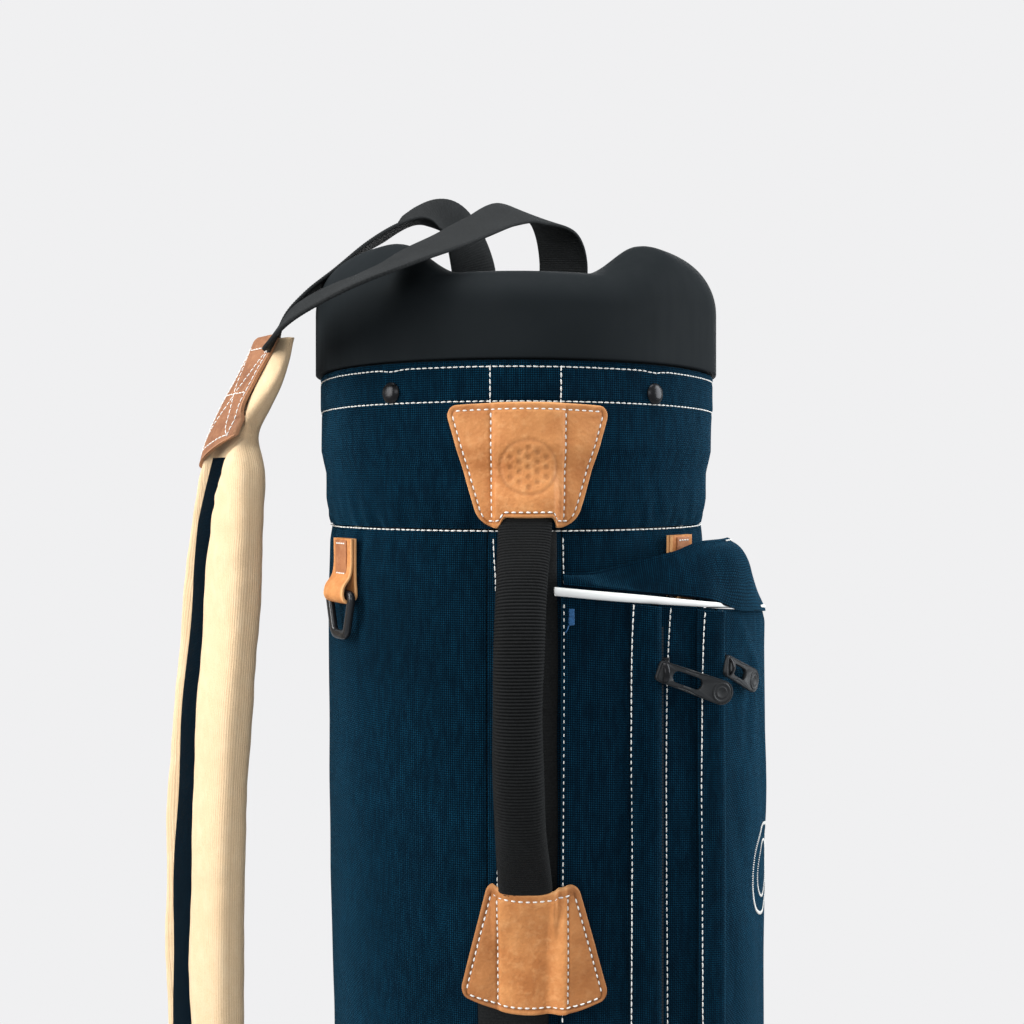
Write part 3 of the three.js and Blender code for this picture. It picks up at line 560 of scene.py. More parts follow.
# The strap's hide is darker than the nubuck partly because its leather is browner and partly as painted shade
# against the light the strap takes from the left.
SHADED_STRAP_HIDE = leather_material("strap_hide", (0.31, 0.135, 0.062), (0.42, 0.21, 0.11), (0.2, 0.08, 0.036))
SMOOTH_HIDE = leather_material("smooth_hide", (0.4, 0.16, 0.065), (0.5, 0.24, 0.11), (0.29, 0.105, 0.042))
RIBBED_TAPE = webbing_material("ribbed_webbing", (0.005, 0.0057, 0.006), (0.018, 0.02, 0.021))
GRIP_TAPE = webbing_material("grip_webbing", (0.0018, 0.002, 0.0022), (0.009, 0.0098, 0.0102))
VELOUR = velour_material()
MOULDED = moulded_material(
    "matt_moulding", (0.0095, 0.0118, 0.0132), (0.012, 0.0144, 0.016), 0.62, 0.2, 0, 0.03)
RING_PLASTIC = moulded_material("ring_moulding", (0.008, 0.009, 0.01), (0.013, 0.014, 0.016), 0.22, 0.1)
LINER = moulded_material("liner_board", (0.016, 0.017, 0.019), (0.026, 0.027, 0.03), 0.6)
FIBREGLASS = moulded_material("fibreglass_rod", (0.42, 0.4, 0.3), (0.56, 0.53, 0.42), 0.35)
PULL_RUBBER = moulded_material(
    "pull_rubber", (0.007, 0.008, 0.009), (0.011, 0.012, 0.0135), 0.5, 0.5, 0, 0.35)
WEAR_RUBBER = moulded_material("wear_rubber", (0.009, 0.009, 0.01), (0.015, 0.015, 0.016), 0.75, 0.6)
BLACK_METAL = moulded_material(
    "black_lacquered_metal", (0.012, 0.012, 0.013), (0.02, 0.02, 0.022), 0.24, 0.08, 0.7)
ZIP_NYLON = moulded_material("zip_nylon", (0.006, 0.007, 0.008), (0.012, 0.013, 0.014), 0.4, 0.2)
PIPING = moulded_material("white_piping", (0.76, 0.76, 0.74), (0.85, 0.85, 0.83), 0.45, 0.3)
WHITE_THREAD = thread_material("white_thread", (0.85, 0.84, 0.8), (0.55, 0.53, 0.5))
BLUE_THREAD = thread_material("blue_thread", (0.02, 0.12, 0.3), (0.01, 0.06, 0.16))
LINING = lining_material()


# ---- the collar ----
def dip_share(heading):
    """1 in the dips over the handle and opposite it, 0 at full height."""
    from_front = np.abs((heading + 540) % 360 - 180)
    from_dip = np.minimum(from_front, 180 - from_front)
    return 1 - ease(from_dip, DIP_FLAT, DIP_END)


def collar():
    reach = COLLAR_RADIUS - COLLAR_INSIDE - LIP
    rise = RIM_TOP - COLLAR_SHOULDER
    neck = BAND_RADIUS - CANVAS - 0.5

    def roll(inset, angles):
        radii = COLLAR_RADIUS - inset - (reach - inset) * (1 - np.cos(np.radians(angles)))
        return list(zip(radii, COLLAR_SHOULDER + (rise - inset) * np.sin(np.radians(angles))))

    corner = [(COLLAR_INSIDE + LIP - LIP * math.sin(a), RIM_TOP - LIP + LIP * math.cos(a))
              for a in np.linspace(0.1, 1.5, 10)]
    foot = [(COLLAR_RADIUS - 0.9 + 0.9 * math.sin(a), BAND_TOP + 1.7 - 0.9 * math.cos(a))
            for a in np.linspace(0, 1.5, 6)]
    profile = np.array(
        [
            (neck, 780),
            (neck, BAND_TOP + 0.8),
            *foot,
            *[(COLLAR_RADIUS, z) for z in np.linspace(BAND_TOP + 4, COLLAR_SHOULDER - 2, 6)],
            *roll(0, np.linspace(0, 90, 26)),
            *corner,
            *[(COLLAR_INSIDE, z) for z in np.linspace(RIM_TOP - 12, 806, 6)],
            (94.5, 788),
            (94.5, 794),
            (COLLAR_INSIDE + 3.5, 809),
            (COLLAR_INSIDE + 3.5, RIM_TOP - 11),
            *roll(3.5, np.linspace(81, 0, 8)),
            (neck - 3.5, BAND_TOP - 4),
            (neck - 3.5, 780),
        ]
    )
    headings = np.linspace(0, 360, 240, endpoint=False)[:, None]
    sink = (np.maximum(0, profile[:, 1] - SINK_START) / (RIM_TOP - SINK_START)) ** 1.25
    z = profile[:, 1] - sink * RIM_DIP * dip_share(headings)
    form = Form()
    tube(form, polar(profile[:, 0][None], headings, z), closed=True)
    make(form, "collar_moulding", MOULDED, replaces="collar", sharp=50)


# ---- canvas tube ----
def band_at(heading, z, lift=0.0):
    """The top band's face: pulled in along its stitches, creased at the seam, its hem a double fold."""
    radius = np.interp(z, *BAND_PROFILE)
    base = polar(radius, heading, z)
    seam = np.exp(-(z - BAND_BOTTOM) / 10)
    radius = radius + 0.35 * ripple(base, 70, 21, (1, 1, 0.6))
    radius = radius + ripple(base, 9, 22, (1, 1, 0.3)) * (0.06 + 0.75 * seam)
    radius = radius + ripple(base, 7, 23, (1, 1, 0.4)) * 0.16 * (hump(z, HEM_ROW, 6) + hump(z, LOW_ROW, 7))
    radius = radius + 0.5 * ease(z, LOW_ROW - 1.5, LOW_ROW + 1) - 0.5 * hump(z, LOW_ROW, 1.1)
    radius = radius - 0.45 * hump(z, HEM_ROW, 1.1) - 0.8 * ease(z, BAND_TOP - 1.2, BAND_TOP + 0.3)
    return polar(radius + lift, heading, z)


def body_at(heading, z, lift=0.0):
    """The tube's canvas: puckered under the band, slack in soft upright folds, tight at its own seams."""
    radius = np.interp(z, *BODY_PROFILE)
    base = polar(radius, heading, z)
    under_seam = np.exp(-(BODY_TOP - z) / 16)
    hem = np.exp(-(z - BODY_FOOT) / 10)
    radius = radius + 0.45 * ripple(base, 80, 31, (1, 1, 0.35)) + 0.16 * ripple(base, 22, 32, (1, 1, 0.4))
    radius = radius + ripple(base, 10, 33, (1, 1, 0.28)) * (0.85 * under_seam + 0.35 * hem)
    for seam in (10, 128, 232, 350):
        off = (np.asarray(heading) - seam + 180) % 360 - 180
        radius = radius - 0.7 * hump(np.radians(off) * 105, 0, 1.3)
    return polar(radius + lift, heading, z)


def seam_at(heading, z, lift):
    """Over whichever stands out further at the band's seam, the band or the tube under it."""
    faces = [surface(heading, z) for surface in (band_at, body_at)]
    radius = np.max([np.hypot(face[..., 0], face[..., 1]) for face in faces], axis=0)
    return polar(radius + lift, heading, z)


def canvas_row(form, surface, headings, z, seed):
    """A row of stitches over the canvas, along matching headings and heights or at just one of either."""
    headings, z = np.broadcast_arrays(np.asarray(headings, float), np.asarray(z, float))
    stitches(form, surface(headings, z, THREAD_LIFT), polar(1.0, headings, 0), seed=seed)


def inner_face(profile):
    """The canvas's inner face, one thickness inside its profile."""
    return lambda u, v: polar(np.interp(v, *profile) - CANVAS, u, v)


def canvas_tube():
    form = Form()
    z = np.concatenate([np.linspace(BAND_BOTTOM, 796, 30), np.linspace(797, BAND_TOP, 34)])
    shell(form, band_at, inner_face(BAND_PROFILE), np.linspace(0, 360, 321), z, wrap=True)
    make(form, "canvas_top_band", CANVAS_CLOTH, replaces="canvas_band")

    z = np.concatenate([np.linspace(BODY_FOOT, 670, 110), np.linspace(674, BODY_TOP, 30)])
    for side, (start, end) in SEAMS.items():
        form = Form()
        headings = np.linspace(start + 0.15, end - 0.15, int((end - start) * 0.62) + 2)
        shell(form, body_at, inner_face(BODY_PROFILE), headings, z)
        make(form, f"canvas_{side}_cloth", CANVAS_CLOTH, replaces=f"canvas_{side}_panel")

    rows = Form()
    headings = np.linspace(-180, 180, 721)
    snap_dip = sum(hump((headings - snap + 180) % 360 - 180, 0, 2.6) for snap in SNAPS)
    canvas_row(rows, band_at, headings, HEM_ROW - 0.9 * snap_dip, 1)
    canvas_row(rows, band_at, headings, LOW_ROW, 2)
    canvas_row(rows, seam_at, headings, BODY_TOP - 0.2, 3)
    canvas_row(rows, body_at, headings, BODY_FOOT + 5, 4)
    for side in (-1, 1):
        heading = math.degrees(SPINE_ROW / BAND_RADIUS) * side
        canvas_row(rows, band_at, heading, np.linspace(796, BAND_TOP - 0.8, 30), 5)
    for heading, foot in ((-7.2, BODY_FOOT + 6), (10.3, 709), (127, BODY_FOOT + 6), (233, BODY_FOOT + 6)):
        z = np.linspace(BODY_TOP - 2, foot, 220)
        line = heading + (0.25 * np.sin(z / 9) - (1.3 if heading < 0 else 0)) * np.exp((z - BODY_TOP) / 22)
        canvas_row(rows, body_at, line, z, int(240 + heading))
    sew(rows, "canvas_stitches")


def studs(name, node, headings, radius, height, dome, steps):
    """Round metal heads on the bag's side, with that dome, numbered from 1."""
    for number, heading in enumerate(headings, 1):
        form = Form()
        lathe(form, dome, steps, Place(polar(radius, heading, height), heading, 90))
        make(form, f"{name}_{number}", BLACK_METAL, replaces=f"{node}_{number}")


def snaps():
    dome = [(0, 0), (5.25, 0), (5.35, 0.5), (5.1, 0.9), (4.7, 1.2), (4, 1.75), (3, 2.15), (1.6, 2.4),
            (0, 2.45)]
    studs("snap_cap_dome", "snap_cap", SNAPS, BAND_RADIUS + 0.5, SNAP_HEIGHT, dome, 32)


# ---- leather patches, spine and grip ----
def patch_grid(foot, top, half_foot, half_top, corner_foot, corner_top, sag_foot, sag_top, notch=0.0):
    """Across, height and distance from the edge, over a patch with rounded corners and sagging ends.

    A notch raises the foot's middle, where the grip comes out from under it.
    """
    fine = np.array([0, 0.12, 0.3, 0.6, 1.0, 1.5, 2.1])
    pitch = 0.8
    height = top - foot
    up = np.concatenate([fine, np.arange(2.9, height - 2.9, pitch), height - fine[::-1]])
    half = lerp(half_foot, half_top, up / height)
    for corner, away in ((corner_foot, up), (corner_top, height - up)):
        inside = np.clip(corner - away, 0, corner)
        half = half - (corner - np.sqrt(np.maximum(corner**2 - inside**2, 0)))
    middle = np.linspace(-1, 1, int(2 * max(half_foot, half_top) / pitch) | 1)
    inner = half[:, None] - 2.9
    across = np.concatenate([-half[:, None] + fine, middle * inner, half[:, None] - fine[::-1]], axis=1)
    share = across / np.maximum(half[:, None], 1e-6)
    sag = lerp(sag_foot, sag_top, up / height)[:, None] * (1 - share**2)
    sag = sag - notch * ((1 - up / height) ** 3)[:, None] * (1 - ease(np.abs(across), 11, 14.5))
    to_side = half[:, None] - np.abs(across)
    to_end = np.minimum(up, height - up)[:, None]
    edge = np.minimum(np.broadcast_to(to_end, to_side.shape), to_side)
    return across, foot + up[:, None] - sag, edge


def leather_patch(name, node, grid, radius_at, inner_row, shift, grip_end, wing_shade, emblem=None):
    """A patch over the spine's tape and one end of the grip, with painted shade outside its inner rows of
    stitches and along its stitch grooves.
    """
    across, z, edge = grid
    heading = np.degrees((across + shift) / 112)
    base = polar(radius_at(z, heading), heading, z)
    over_grip = (1 - ease(np.abs(across + shift + 0.6), 13.2, 16.6)) * ease(z, *grip_end)
    over_tape = np.sqrt(np.clip(1 - (across / (inner_row - 0.3)) ** 2, 0, 1))
    raised = 2.3 * over_tape + 4.6 * over_grip
    wave = 0.25 * ripple(base, 30, 41) + 0.1 * ripple(base, 9, 42)
    round_edge = LEATHER * (np.sqrt(np.clip(1 - (1 - np.clip(edge, 0, 1)) ** 2, 0, 1)) - 1)
    seam_groove = np.maximum(hump(edge, 3, 0.55), hump(np.abs(across), inner_row, 0.55) * (edge > 3))
    groove = 0.7 * seam_groove
    wings = ease(np.abs(across), inner_row - 1, inner_row + 1) + 0.4 * (edge < 3)
    # Painted shade: darker along the stitch grooves and over the wings outside the inner rows; the emblem's
    # stamp below is pressed darker.
    press_and_painted_shade = 0.45 * seam_groove + wing_shade * wings
    if emblem:
        from_middle = np.hypot(across, z - emblem)
        axes = [np.cos(2 * math.pi / 4.2 * (across * math.cos(a) + (z - emblem) * math.sin(a)))
                for a in (0, math.pi / 3, 2 * math.pi / 3)]
        dimple = ease(sum(axes) / 3, 0.0, 0.5) * (from_middle < 11)
        ring = hump(from_middle, 13.2, 0.8)
        stamp = np.clip(0.6 * dimple + 0.6 * ring, 0, 1)
        press_and_painted_shade = np.maximum(press_and_painted_shade, 0.6 * stamp)
        groove = groove + 0.6 * stamp
    lift = PATCH_LIFT + LEATHER + round_edge - groove + wave + raised
    front = base + polar(1.0, heading, 0) * lift[..., None]
    back = base + polar(1.0, heading, 0) * (PATCH_LIFT + np.minimum(wave, 0) + raised)[..., None]
    marks = np.stack([np.clip(1 - edge / 0.9, 0, 1), press_and_painted_shade], axis=-1)
    form = Form()
    rows, columns = across.shape
    shell(form, lambda u, v: front[u, v], lambda u, v: back[u, v], np.arange(rows), np.arange(columns),
          mark=lambda u, v: marks[u, v])
    make(form, name, NUBUCK, replaces=node, sharp=60)
    rows_form = Form()
    patch_stitches(rows_form, across, edge, front, heading, inner_row)
    sew(rows_form, name + "_stitches")


def patch_stitches(form, across, edge, front, heading, inner_row):
    """Rows of stitches 3 mm inside a patch's outline, and two upright rows over the spine."""
    inset = 3.0
    out = polar(1.0, heading, 0)
    inside = [row for row in range(len(across)) if edge[row].max() > inset]

    def on_row(row, x):
        faces = np.concatenate([front[row], out[row]], axis=1)
        return [np.interp(x, across[row], column) for column in faces.T]

    ends = [[on_row(row, x) for x in np.linspace(across[row, 0] + inset, across[row, -1] - inset, 60)]
            for row in (inside[0], inside[-1])]
    sides = [[on_row(row, across[row, end] - side * inset) for row in inside]
             for side, end in ((-1, 0), (1, -1))]
    upright = [[on_row(row, side * inner_row) for row in inside if across[row, -1] > inner_row + inset + 1]
               for side in (-1, 1)]
    for number, line in enumerate(ends + sides + upright):
        line = np.array(line)
        stitches(form, line[:, :3], line[:, 3:], 2.5, 1.0, 0.8, 0.45, seed=50 + number)


def lapped_radius(z, heading):
    """The lower patch lies on the tube and laps over the front of the pocket."""
    return lerp(np.interp(z, *BODY_PROFILE), 112.8 + 0.22 * (heading - 9), ease(heading, 5, 10))


def patches():
    upper = patch_grid(738, 797.8, 24, 40.5, 9, 7, 0.5, -1.2, notch=5.5)
    leather_patch("handle_patch_upper_hide", "handle_patch_upper", upper,
                  lambda z, h: np.interp(z, *BAND_PROFILE), 17.6, 1.2, (772, 745), 0.12, emblem=767.5)
    lower = patch_grid(508, 565.5, 37, 21.8, 7, 4, 6.5, 3)
    leather_patch("handle_patch_lower_hide", "handle_patch_lower", lower,
                  lapped_radius, 16.6, 3, (532, 560), 0.5)


def rib(distance, pitch=1.5):
    """How high a webbing's cross ribs stand, from 0 between two ribs to 1 on one."""
    return np.abs(np.sin(math.pi * distance / pitch)) ** 0.8


def spine_and_grip():
    form = Form()
    z = np.arange(BODY_FOOT + 0.5, 736, 0.375)
    to_foot = 1 - ease(z, 510, 560)
    half = 14 + 3 * to_foot + 0.25 * np.sin(z / 13)
    rise = 1.7 + 0.25 * rib(z)
    profile = np.array([(-1, 0), (-1, 0.8), (-0.97, 1), (-0.4, 1), (0.4, 1), (0.97, 1), (1, 0.8), (1, 0)])
    across = profile[:, 0] * half[:, None] + (1.3 - 7 * to_foot * ease(z, 380, 500))[:, None]
    lift = 0.3 + profile[:, 1] * (rise - 0.3)[:, None]
    radius = np.interp(z, *BODY_PROFILE)[:, None] + lift
    tube(form, polar(radius, np.degrees(across / 106), np.broadcast_to(z[:, None], across.shape)))
    make(form, "spine_ribbed_webbing", GRIP_TAPE, replaces="spine_webbing", sharp=80)

    middle = 651.0
    skin = -np.interp(middle, *BODY_PROFILE)
    path = Curve([(x, skin + dy, z) for x, dy, z in (
        (0, -3.2, 748), (-0.6, -7.2, 736), (-3.4, -23, 701), (-5, -28.4, middle), (-3.6, -23, 601),
        (-0.4, -7.2, 566), (0.4, -3.2, 554))])
    s = np.arange(0, path.length, 0.3)
    centres = path.at(s)
    along = path.tangent(s)
    across = np.tile([1.0, 0, 0], (len(s), 1))
    out = unit(np.cross(along, across))
    out = out * np.sign(-out[:, 1:2])
    share = s / path.length
    fat = 2.0 + 6.2 * np.sin(math.pi * share) ** 0.8
    half = 12.7 - 1.5 * np.sin(math.pi * share) + 0.15 * np.sin(s / 9)
    grow = 1 + 0.05 * rib(s)
    section = stretched(superellipse(1, 1, 28, 0.72), half * grow, fat * (1 + 0.11 * rib(s)))
    form = Form()
    bar(form, centres, across, out, section)
    grip = make(form, "handle_grip_padded", GRIP_TAPE, replaces="handle_grip", sharp=80)


# ---- tabs and D-rings ----
# Each D-ring's heading, height, lean and body.
HARDWARE = {
    "left": (-56.5, 702, 0, "ring_left"),
    "right": (47.6, 704, 0, "ring_right"),
    "lower": (-71, 190, 200, "root"),
}


def rounded_loop(corners, radius, steps=8):
    """A closed outline through corners, each rounded off from that far before it to that far after it."""
    corners = np.array(corners, float)
    points = []
    for before, here, after in zip(np.roll(corners, 1, 0), corners, np.roll(corners, -1, 0)):
        start = here + unit(before - here) * radius
        end = here + unit(after - here) * radius
        t = np.linspace(0, 1, steps)[:, None]
        points.extend((1 - t) ** 2 * start + 2 * t * (1 - t) * here + t**2 * end)
    return np.array(points)


def ring_and_tab(side, heading, height, lean, body):
    """A D-ring in a folded leather tab, with a smooth face patch and two rows of stitches."""
    radius = np.interp(height, *BODY_PROFILE) + 5.7
    flip = 180 if side == "lower" else 0
    origin = polar(radius, heading, height)

    loop = rounded_loop([(-13, 0), (13, 0), (6.8, -21.3), (-6.8, -21.3)], 4)
    centres = np.stack([loop[:, 0], np.zeros(len(loop)), loop[:, 1]], axis=1)
    along = unit(np.roll(centres, -1, 0) - np.roll(centres, 1, 0))
    out = np.tile([0.0, -1, 0], (len(loop), 1))
    form = Form()
    bar(form, centres, np.cross(along, out), out, superellipse(2.5, 1.9, 14, 0.75), closed=True)
    form.move(Place(origin, heading, lean))
    make(form, f"d_ring_{side}_loop", RING_PLASTIC, body, f"d_ring_{side}")

    turns = np.linspace(0, math.pi, 14)
    around = [(3.9 * math.cos(a), -3.9 * math.sin(a)) for a in turns]
    route = Curve([(3.7, 29, 0), (3.75, 10, 0), *[(y, z, 0) for y, z in around], (-3.2, 4, 0), (0.4, 9, 0),
                   (1.6, 14, 0), (1.7, 29, 0)], 6)
    s = np.linspace(0, route.length, 90)
    flat = route.at(s)
    centres = np.stack([np.zeros(90), flat[:, 0], flat[:, 1]], axis=1)
    along = unit(np.gradient(centres, axis=0))
    across = np.tile([1.0, 0, 0], (90, 1))
    flare = 10 + 0.7 * hump(centres[:, 2], -1, 6)
    leaf = Form()
    bar(leaf, centres, across, np.cross(along, across), stretched(superellipse(1, 1, 20, 0.35), flare, 1.0))
    leaf.marks[0][:, 0] = np.clip((np.abs(leaf.points[0][:, 0]) - 9.1) / 0.8, 0, 1)
    place = Place(origin, heading, 0, flip)
    leaf.move(place)
    make(leaf, f"tab_{side}_folded_hide", NUBUCK, "root", f"tab_{side}", sharp=70)

    face = Form()
    block(face, (12, 1.1, 19), (0, 0.55, 18.6), 0.4, place)
    make(face, f"tab_{side}_face_patch", SMOOTH_HIDE, "root")
    rows = Form()
    for z in (10.8, 26.4):
        x = np.linspace(-5.2, 5.2, 8)
        line = place(np.stack([x, np.full(8, -0.05), np.full(8, z)], axis=1))
        stitches(rows, line, np.tile(place.turn @ [0, -1, 0], (8, 1)), 1.7, 0.7, 0.8, 0.4)
    sew(rows, f"tab_{side}_stitches")


# ---- pocket ----
PLAN = Curve([(x, y, 0) for x, y in (
    (17.6, -111.2), (36, -109.5), (58, -104.2), (80, -98.2), (94, -93.2), (103, -83),
    (124.5, -54), (142, -12), (147, 25), (135, 69), (104, 88), (56, 98))])


def plan_out(distance):
    """The way out of the pocket's wall, level."""
    along = PLAN.tangent(distance)
    return np.stack([along[..., 1], -along[..., 0], np.zeros(along.shape[:-1])], axis=-1)


def pocket_edge(distance):
    return POCKET_EDGE - POCKET_SLOPE * np.asarray(distance)


def crease(distance, z, start, end, width, depth):
    """A ridge, or with a negative depth a fold, between two places on the pocket's wall."""
    run = np.array(end, float) - start
    t = np.clip(((distance - start[0]) * run[0] + (z - start[1]) * run[1]) / (run @ run), 0, 1)
    away = np.hypot(distance - start[0] - t * run[0], z - start[1] - t * run[1])
    return depth * hump(away, 0, width) * np.sin(math.pi * np.clip(0.15 + 0.85 * t, 0, 1)) ** 0.5


def wall_puff(distance, z):
    base = np.concatenate([PLAN.at(distance)[..., :2], np.asarray(z)[..., None]], axis=-1)
    gather = np.exp(-(pocket_edge(distance) - z) / 14)
    puff = 0.7 * ripple(base, 90, 61, (1, 1, 0.35)) + 0.22 * ripple(base, 24, 62, (1, 1, 0.45))
    puff = puff + ripple(base, 11, 63, (1, 1, 0.3)) * 0.5 * gather
    outer = ease(distance, 88, 120) * (1 - ease(distance, 240, 266))
    puff = puff + outer * 2.2 * np.sin(math.pi * np.clip((z - POCKET_FLOOR) / 560, 0, 1)) ** 0.6
    for start, end, width, depth in (
        ((112, 686), (150, 640), 5, 1.6),
        ((126, 672), (118, 610), 6, -1.2),
        ((150, 640), (168, 560), 8, 1.3),
        ((100, 600), (130, 520), 9, -0.9),
        ((180, 420), (150, 330), 14, 1.5),
        ((20, 660), (34, 560), 7, 0.6),
        ((30, 420), (12, 330), 9, 0.7),
        ((66, 600), (70, 500), 6, 0.6),
        ((210, 600), (240, 520), 10, 1.4),
        ((120, 230), (200, 200), 12, -1.3),
    ):
        puff = puff + crease(distance, z, start, end, width, depth)
    for seam in (1.2, BACK_SEAM - 3, BACK_SEAM + 3, ZIPS[0] + 4.1, ZIPS[1] + 4.1):
        puff = puff - 0.5 * hump(distance, seam, 1.1)
    for zip_distance in ZIPS:
        puff = lerp(-0.9, puff, ease(np.abs(distance - zip_distance), 0, 5))
    return puff


def pocket_at(distance, z, lift=0.0):
    out = plan_out(distance)
    where = PLAN.at(distance)
    from_end = np.minimum(z - POCKET_FLOOR, pocket_edge(distance) - z)
    puff = wall_puff(distance, z) * np.clip(from_end / 8, 0.2, 1)
    points = where + out * (puff + lift)[..., None]
    points[..., 2] = z
    return points


def wall_shell(form, start, end):
    """One panel of the pocket's wall, from the floor's edge to just under the piping."""

    def surface(inset):
        return lambda u, v: pocket_at(u, lerp(POCKET_FLOOR + 3, pocket_edge(u) - 2, v), -inset)

    v = np.concatenate([np.linspace(0, 0.86, 106), np.linspace(0.865, 1, 44)])
    count = max(4, int((end - start) / 2.6))
    shell(form, surface(0), surface(POCKET_WALL), np.linspace(start, end, count + 1), v)


def pocket_row(form, distance, z, seed, lift=0.0):
    stitches(form, pocket_at(distance, z, lift + THREAD_LIFT), plan_out(distance), seed=seed)


def pocket_walls():
    gap = 3.9
    lap = -0.5
    walls = {
        "pocket_front_gusset": (0, ZIPS[0] - gap),
        "pocket_middle_gusset": (ZIPS[0] + lap, ZIPS[1] - gap),
        "pocket_outer_panel": (ZIPS[1] + lap, BACK_SEAM),
        "pocket_back_gusset": (BACK_SEAM + 0.5, PLAN.length),
    }
    for name, (start, end) in walls.items():
        form = Form()
        wall_shell(form, start, end)
        make(form, name + "_cloth", CANVAS_CLOTH, replaces=name)

    rows = Form()
    lines = (
        (0.3, 4, 0, 0), (BACK_SEAM - 3, 4, 0, 0), (BACK_SEAM + 3, 4, 0, 0),
        (ZIPS[0] - 16.6, 2.4, 2.0, 1.8), (ZIPS[0] + 3.6, 2.4, 0, 2.4),
        (ZIPS[1] - 14.6, 2.4, 2.0, 1.6), (ZIPS[1] + 3.6, 2.4, 0, 1.6),
    )
    for number, (distance, drop, lift, lean) in enumerate(lines):
        z = np.linspace(pocket_edge(distance) - drop, POCKET_FLOOR + 6, 240)
        bend = lean * np.exp((z - pocket_edge(distance)) / 24)
        where = distance + 0.5 + 0.4 * np.sin(z / 47 + number) + bend
        pocket_row(rows, where, z, 70 + number, lift)
    where = np.linspace(4, BACK_SEAM - 4, 260)
    pocket_row(rows, where, np.full_like(where, POCKET_FLOOR + 8), 80)
    sew(rows, "pocket_stitches")


def zip_flap(number, distance):
    """A strip of canvas sewn down on one side, its folded free edge standing over the zip."""

    def surface(rise):
        def points(u, v):
            z = lerp(ZIP_BOTTOM - 6, pocket_edge(u) - 3, v)
            slope = 0.6 + 3.6 * ease(u, distance - 12, distance - 3)
            fold = 1.5 - 0.9 * ease(u, distance - 2.2, distance - 0.6)
            return pocket_at(u, z, slope + rise * fold + 0.25 * np.sin(z / 31 + number))
        return points

    form = Form()
    across = np.linspace(distance - 16.5, distance - 0.6, 13)
    shell(form, surface(1), surface(0), across, np.linspace(0, 1, 170))
    make(form, f"zip_flap_{number}_cloth", CANVAS_CLOTH, replaces=f"zipper_flap_{number}")


def pocket_floor():
    outline = PLAN.at(np.linspace(0, PLAN.length, 90))
    first = math.degrees(math.atan2(outline[0, 0], -outline[0, 1]))
    last = math.degrees(math.atan2(outline[-1, 0], -outline[-1, 1]))
    inner = polar(106.4, np.linspace(first, last, 90), 0)
    shares = np.linspace(0, 1, 16)

    def surface(lift):
        def points(u, v):
            flat = lerp(outline[u], inner[u], shares[v][..., None])
            flat[..., 2] = POCKET_FLOOR + lift + 0.3 * ripple(flat, 25, 66)
            return flat
        return points

    form = Form()
    shell(form, surface(2.6), surface(0.6), np.arange(90), np.arange(16))
    make(form, "pocket_floor_cloth", CANVAS_CLOTH, replaces="pocket_floor")


def roof_at(distance, v, lift=0.0):
    """The pocket's roof: from the piping, where it curls over the corner, up to its hem at the tube."""
    distance, v = np.broadcast_arrays(np.asarray(distance, float), v)
    where = PLAN.at(distance)
    heading = np.degrees(np.arctan2(where[..., 0], -where[..., 1]))
    hem_gap = 13 * (1 - ease(np.abs(heading - 52), 12, 30))
    inside = polar(110.4 + hem_gap, heading, 0)
    crest = lerp(712, 727.5, ease(heading, 12, 50))
    hem = lerp(crest, 700, ease(heading, 66, 106))
    edge = pocket_edge(distance) + lerp(2.2, 0.8, ease(distance, 60, 95))
    bulge = 7 * np.sin(math.pi * v) * ease(heading, 20, 60) * (1 - 0.8 * ease(heading, 68, 95))
    curl = (1 - ease(v, 0, 0.22)) * ease(distance, 78, 112) * (1 - ease(distance, 190, 240))
    belly = 5 * np.sin(math.pi * v) * ease(distance, 75, 112) * (1 - ease(distance, 200, 250))
    base = lerp(where, inside, v[..., None]) + plan_out(distance) * (2.2 * curl + belly)[..., None]
    base[..., 2] = lerp(edge, hem, v) + bulge + lift - 4.0 * curl
    wave = 0.9 * ripple(base, 46, 67) + 0.3 * ripple(base, 15, 68)
    base[..., 2] += wave * np.sin(math.pi * np.clip(v, 0, 1)) ** 0.5
    return base


def pocket_roof():
    form = Form()
    v = np.concatenate([np.linspace(0, 0.1, 6), np.linspace(0.14, 0.9, 26), np.linspace(0.92, 1, 7)])

    def fold(v):
        hem = ease(v, 0.9, 0.93) * (1 - ease(v, 0.975, 1))
        return hem - 0.8 * (ease(v, 0.985, 1) + 1 - ease(v, 0, 0.02))

    shell(form, lambda u, w: roof_at(u, w, 2.2 + fold(w)), lambda u, w: roof_at(u, w, 0.6),
          np.linspace(1, PLAN.length - 2, 132), v)
    make(form, "pocket_roof_cloth", CANVAS_CLOTH, replaces="pocket_roof")
    rows = Form()
    distance = np.linspace(112, PLAN.length - 4, 240)
    points = roof_at(distance, np.full_like(distance, 0.9), 2.7)
    inward = roof_at(distance, 0.95, 2.2) - roof_at(distance, 0.85, 2.2)
    upward = unit(np.cross(np.gradient(points, axis=0), inward))
    upward = upward * np.sign(upward[:, 2:])
    stitches(rows, points, upward, 2.6, 0.8, 0.9, seed=81)
    sew(rows, "pocket_roof_stitches")


def piping():
    s = np.linspace(-3.6, BACK_SEAM - 1, 300)
    kept = np.maximum(s, 0.6)
    out = plan_out(kept)
    tuck = 1.4 * ease(s, 74, 92) * (1 - ease(s, 130, 150))
    centres = PLAN.at(kept) + PLAN.tangent(kept) * (s - kept)[:, None] + out * (0.5 - tuck)[:, None]
    centres[:, 2] = pocket_edge(s)
    up = np.tile([0.0, 0, 1], (len(s), 1))
    tall = lerp(2.15, 1.35, ease(s, 30, 88))
    form = Form()
    bar(form, centres, up, out, stretched(superellipse(1, 1, 16, 0.8), tall, 1.6))
    make(form, "pocket_piping_cord", PIPING, replaces="pocket_piping")


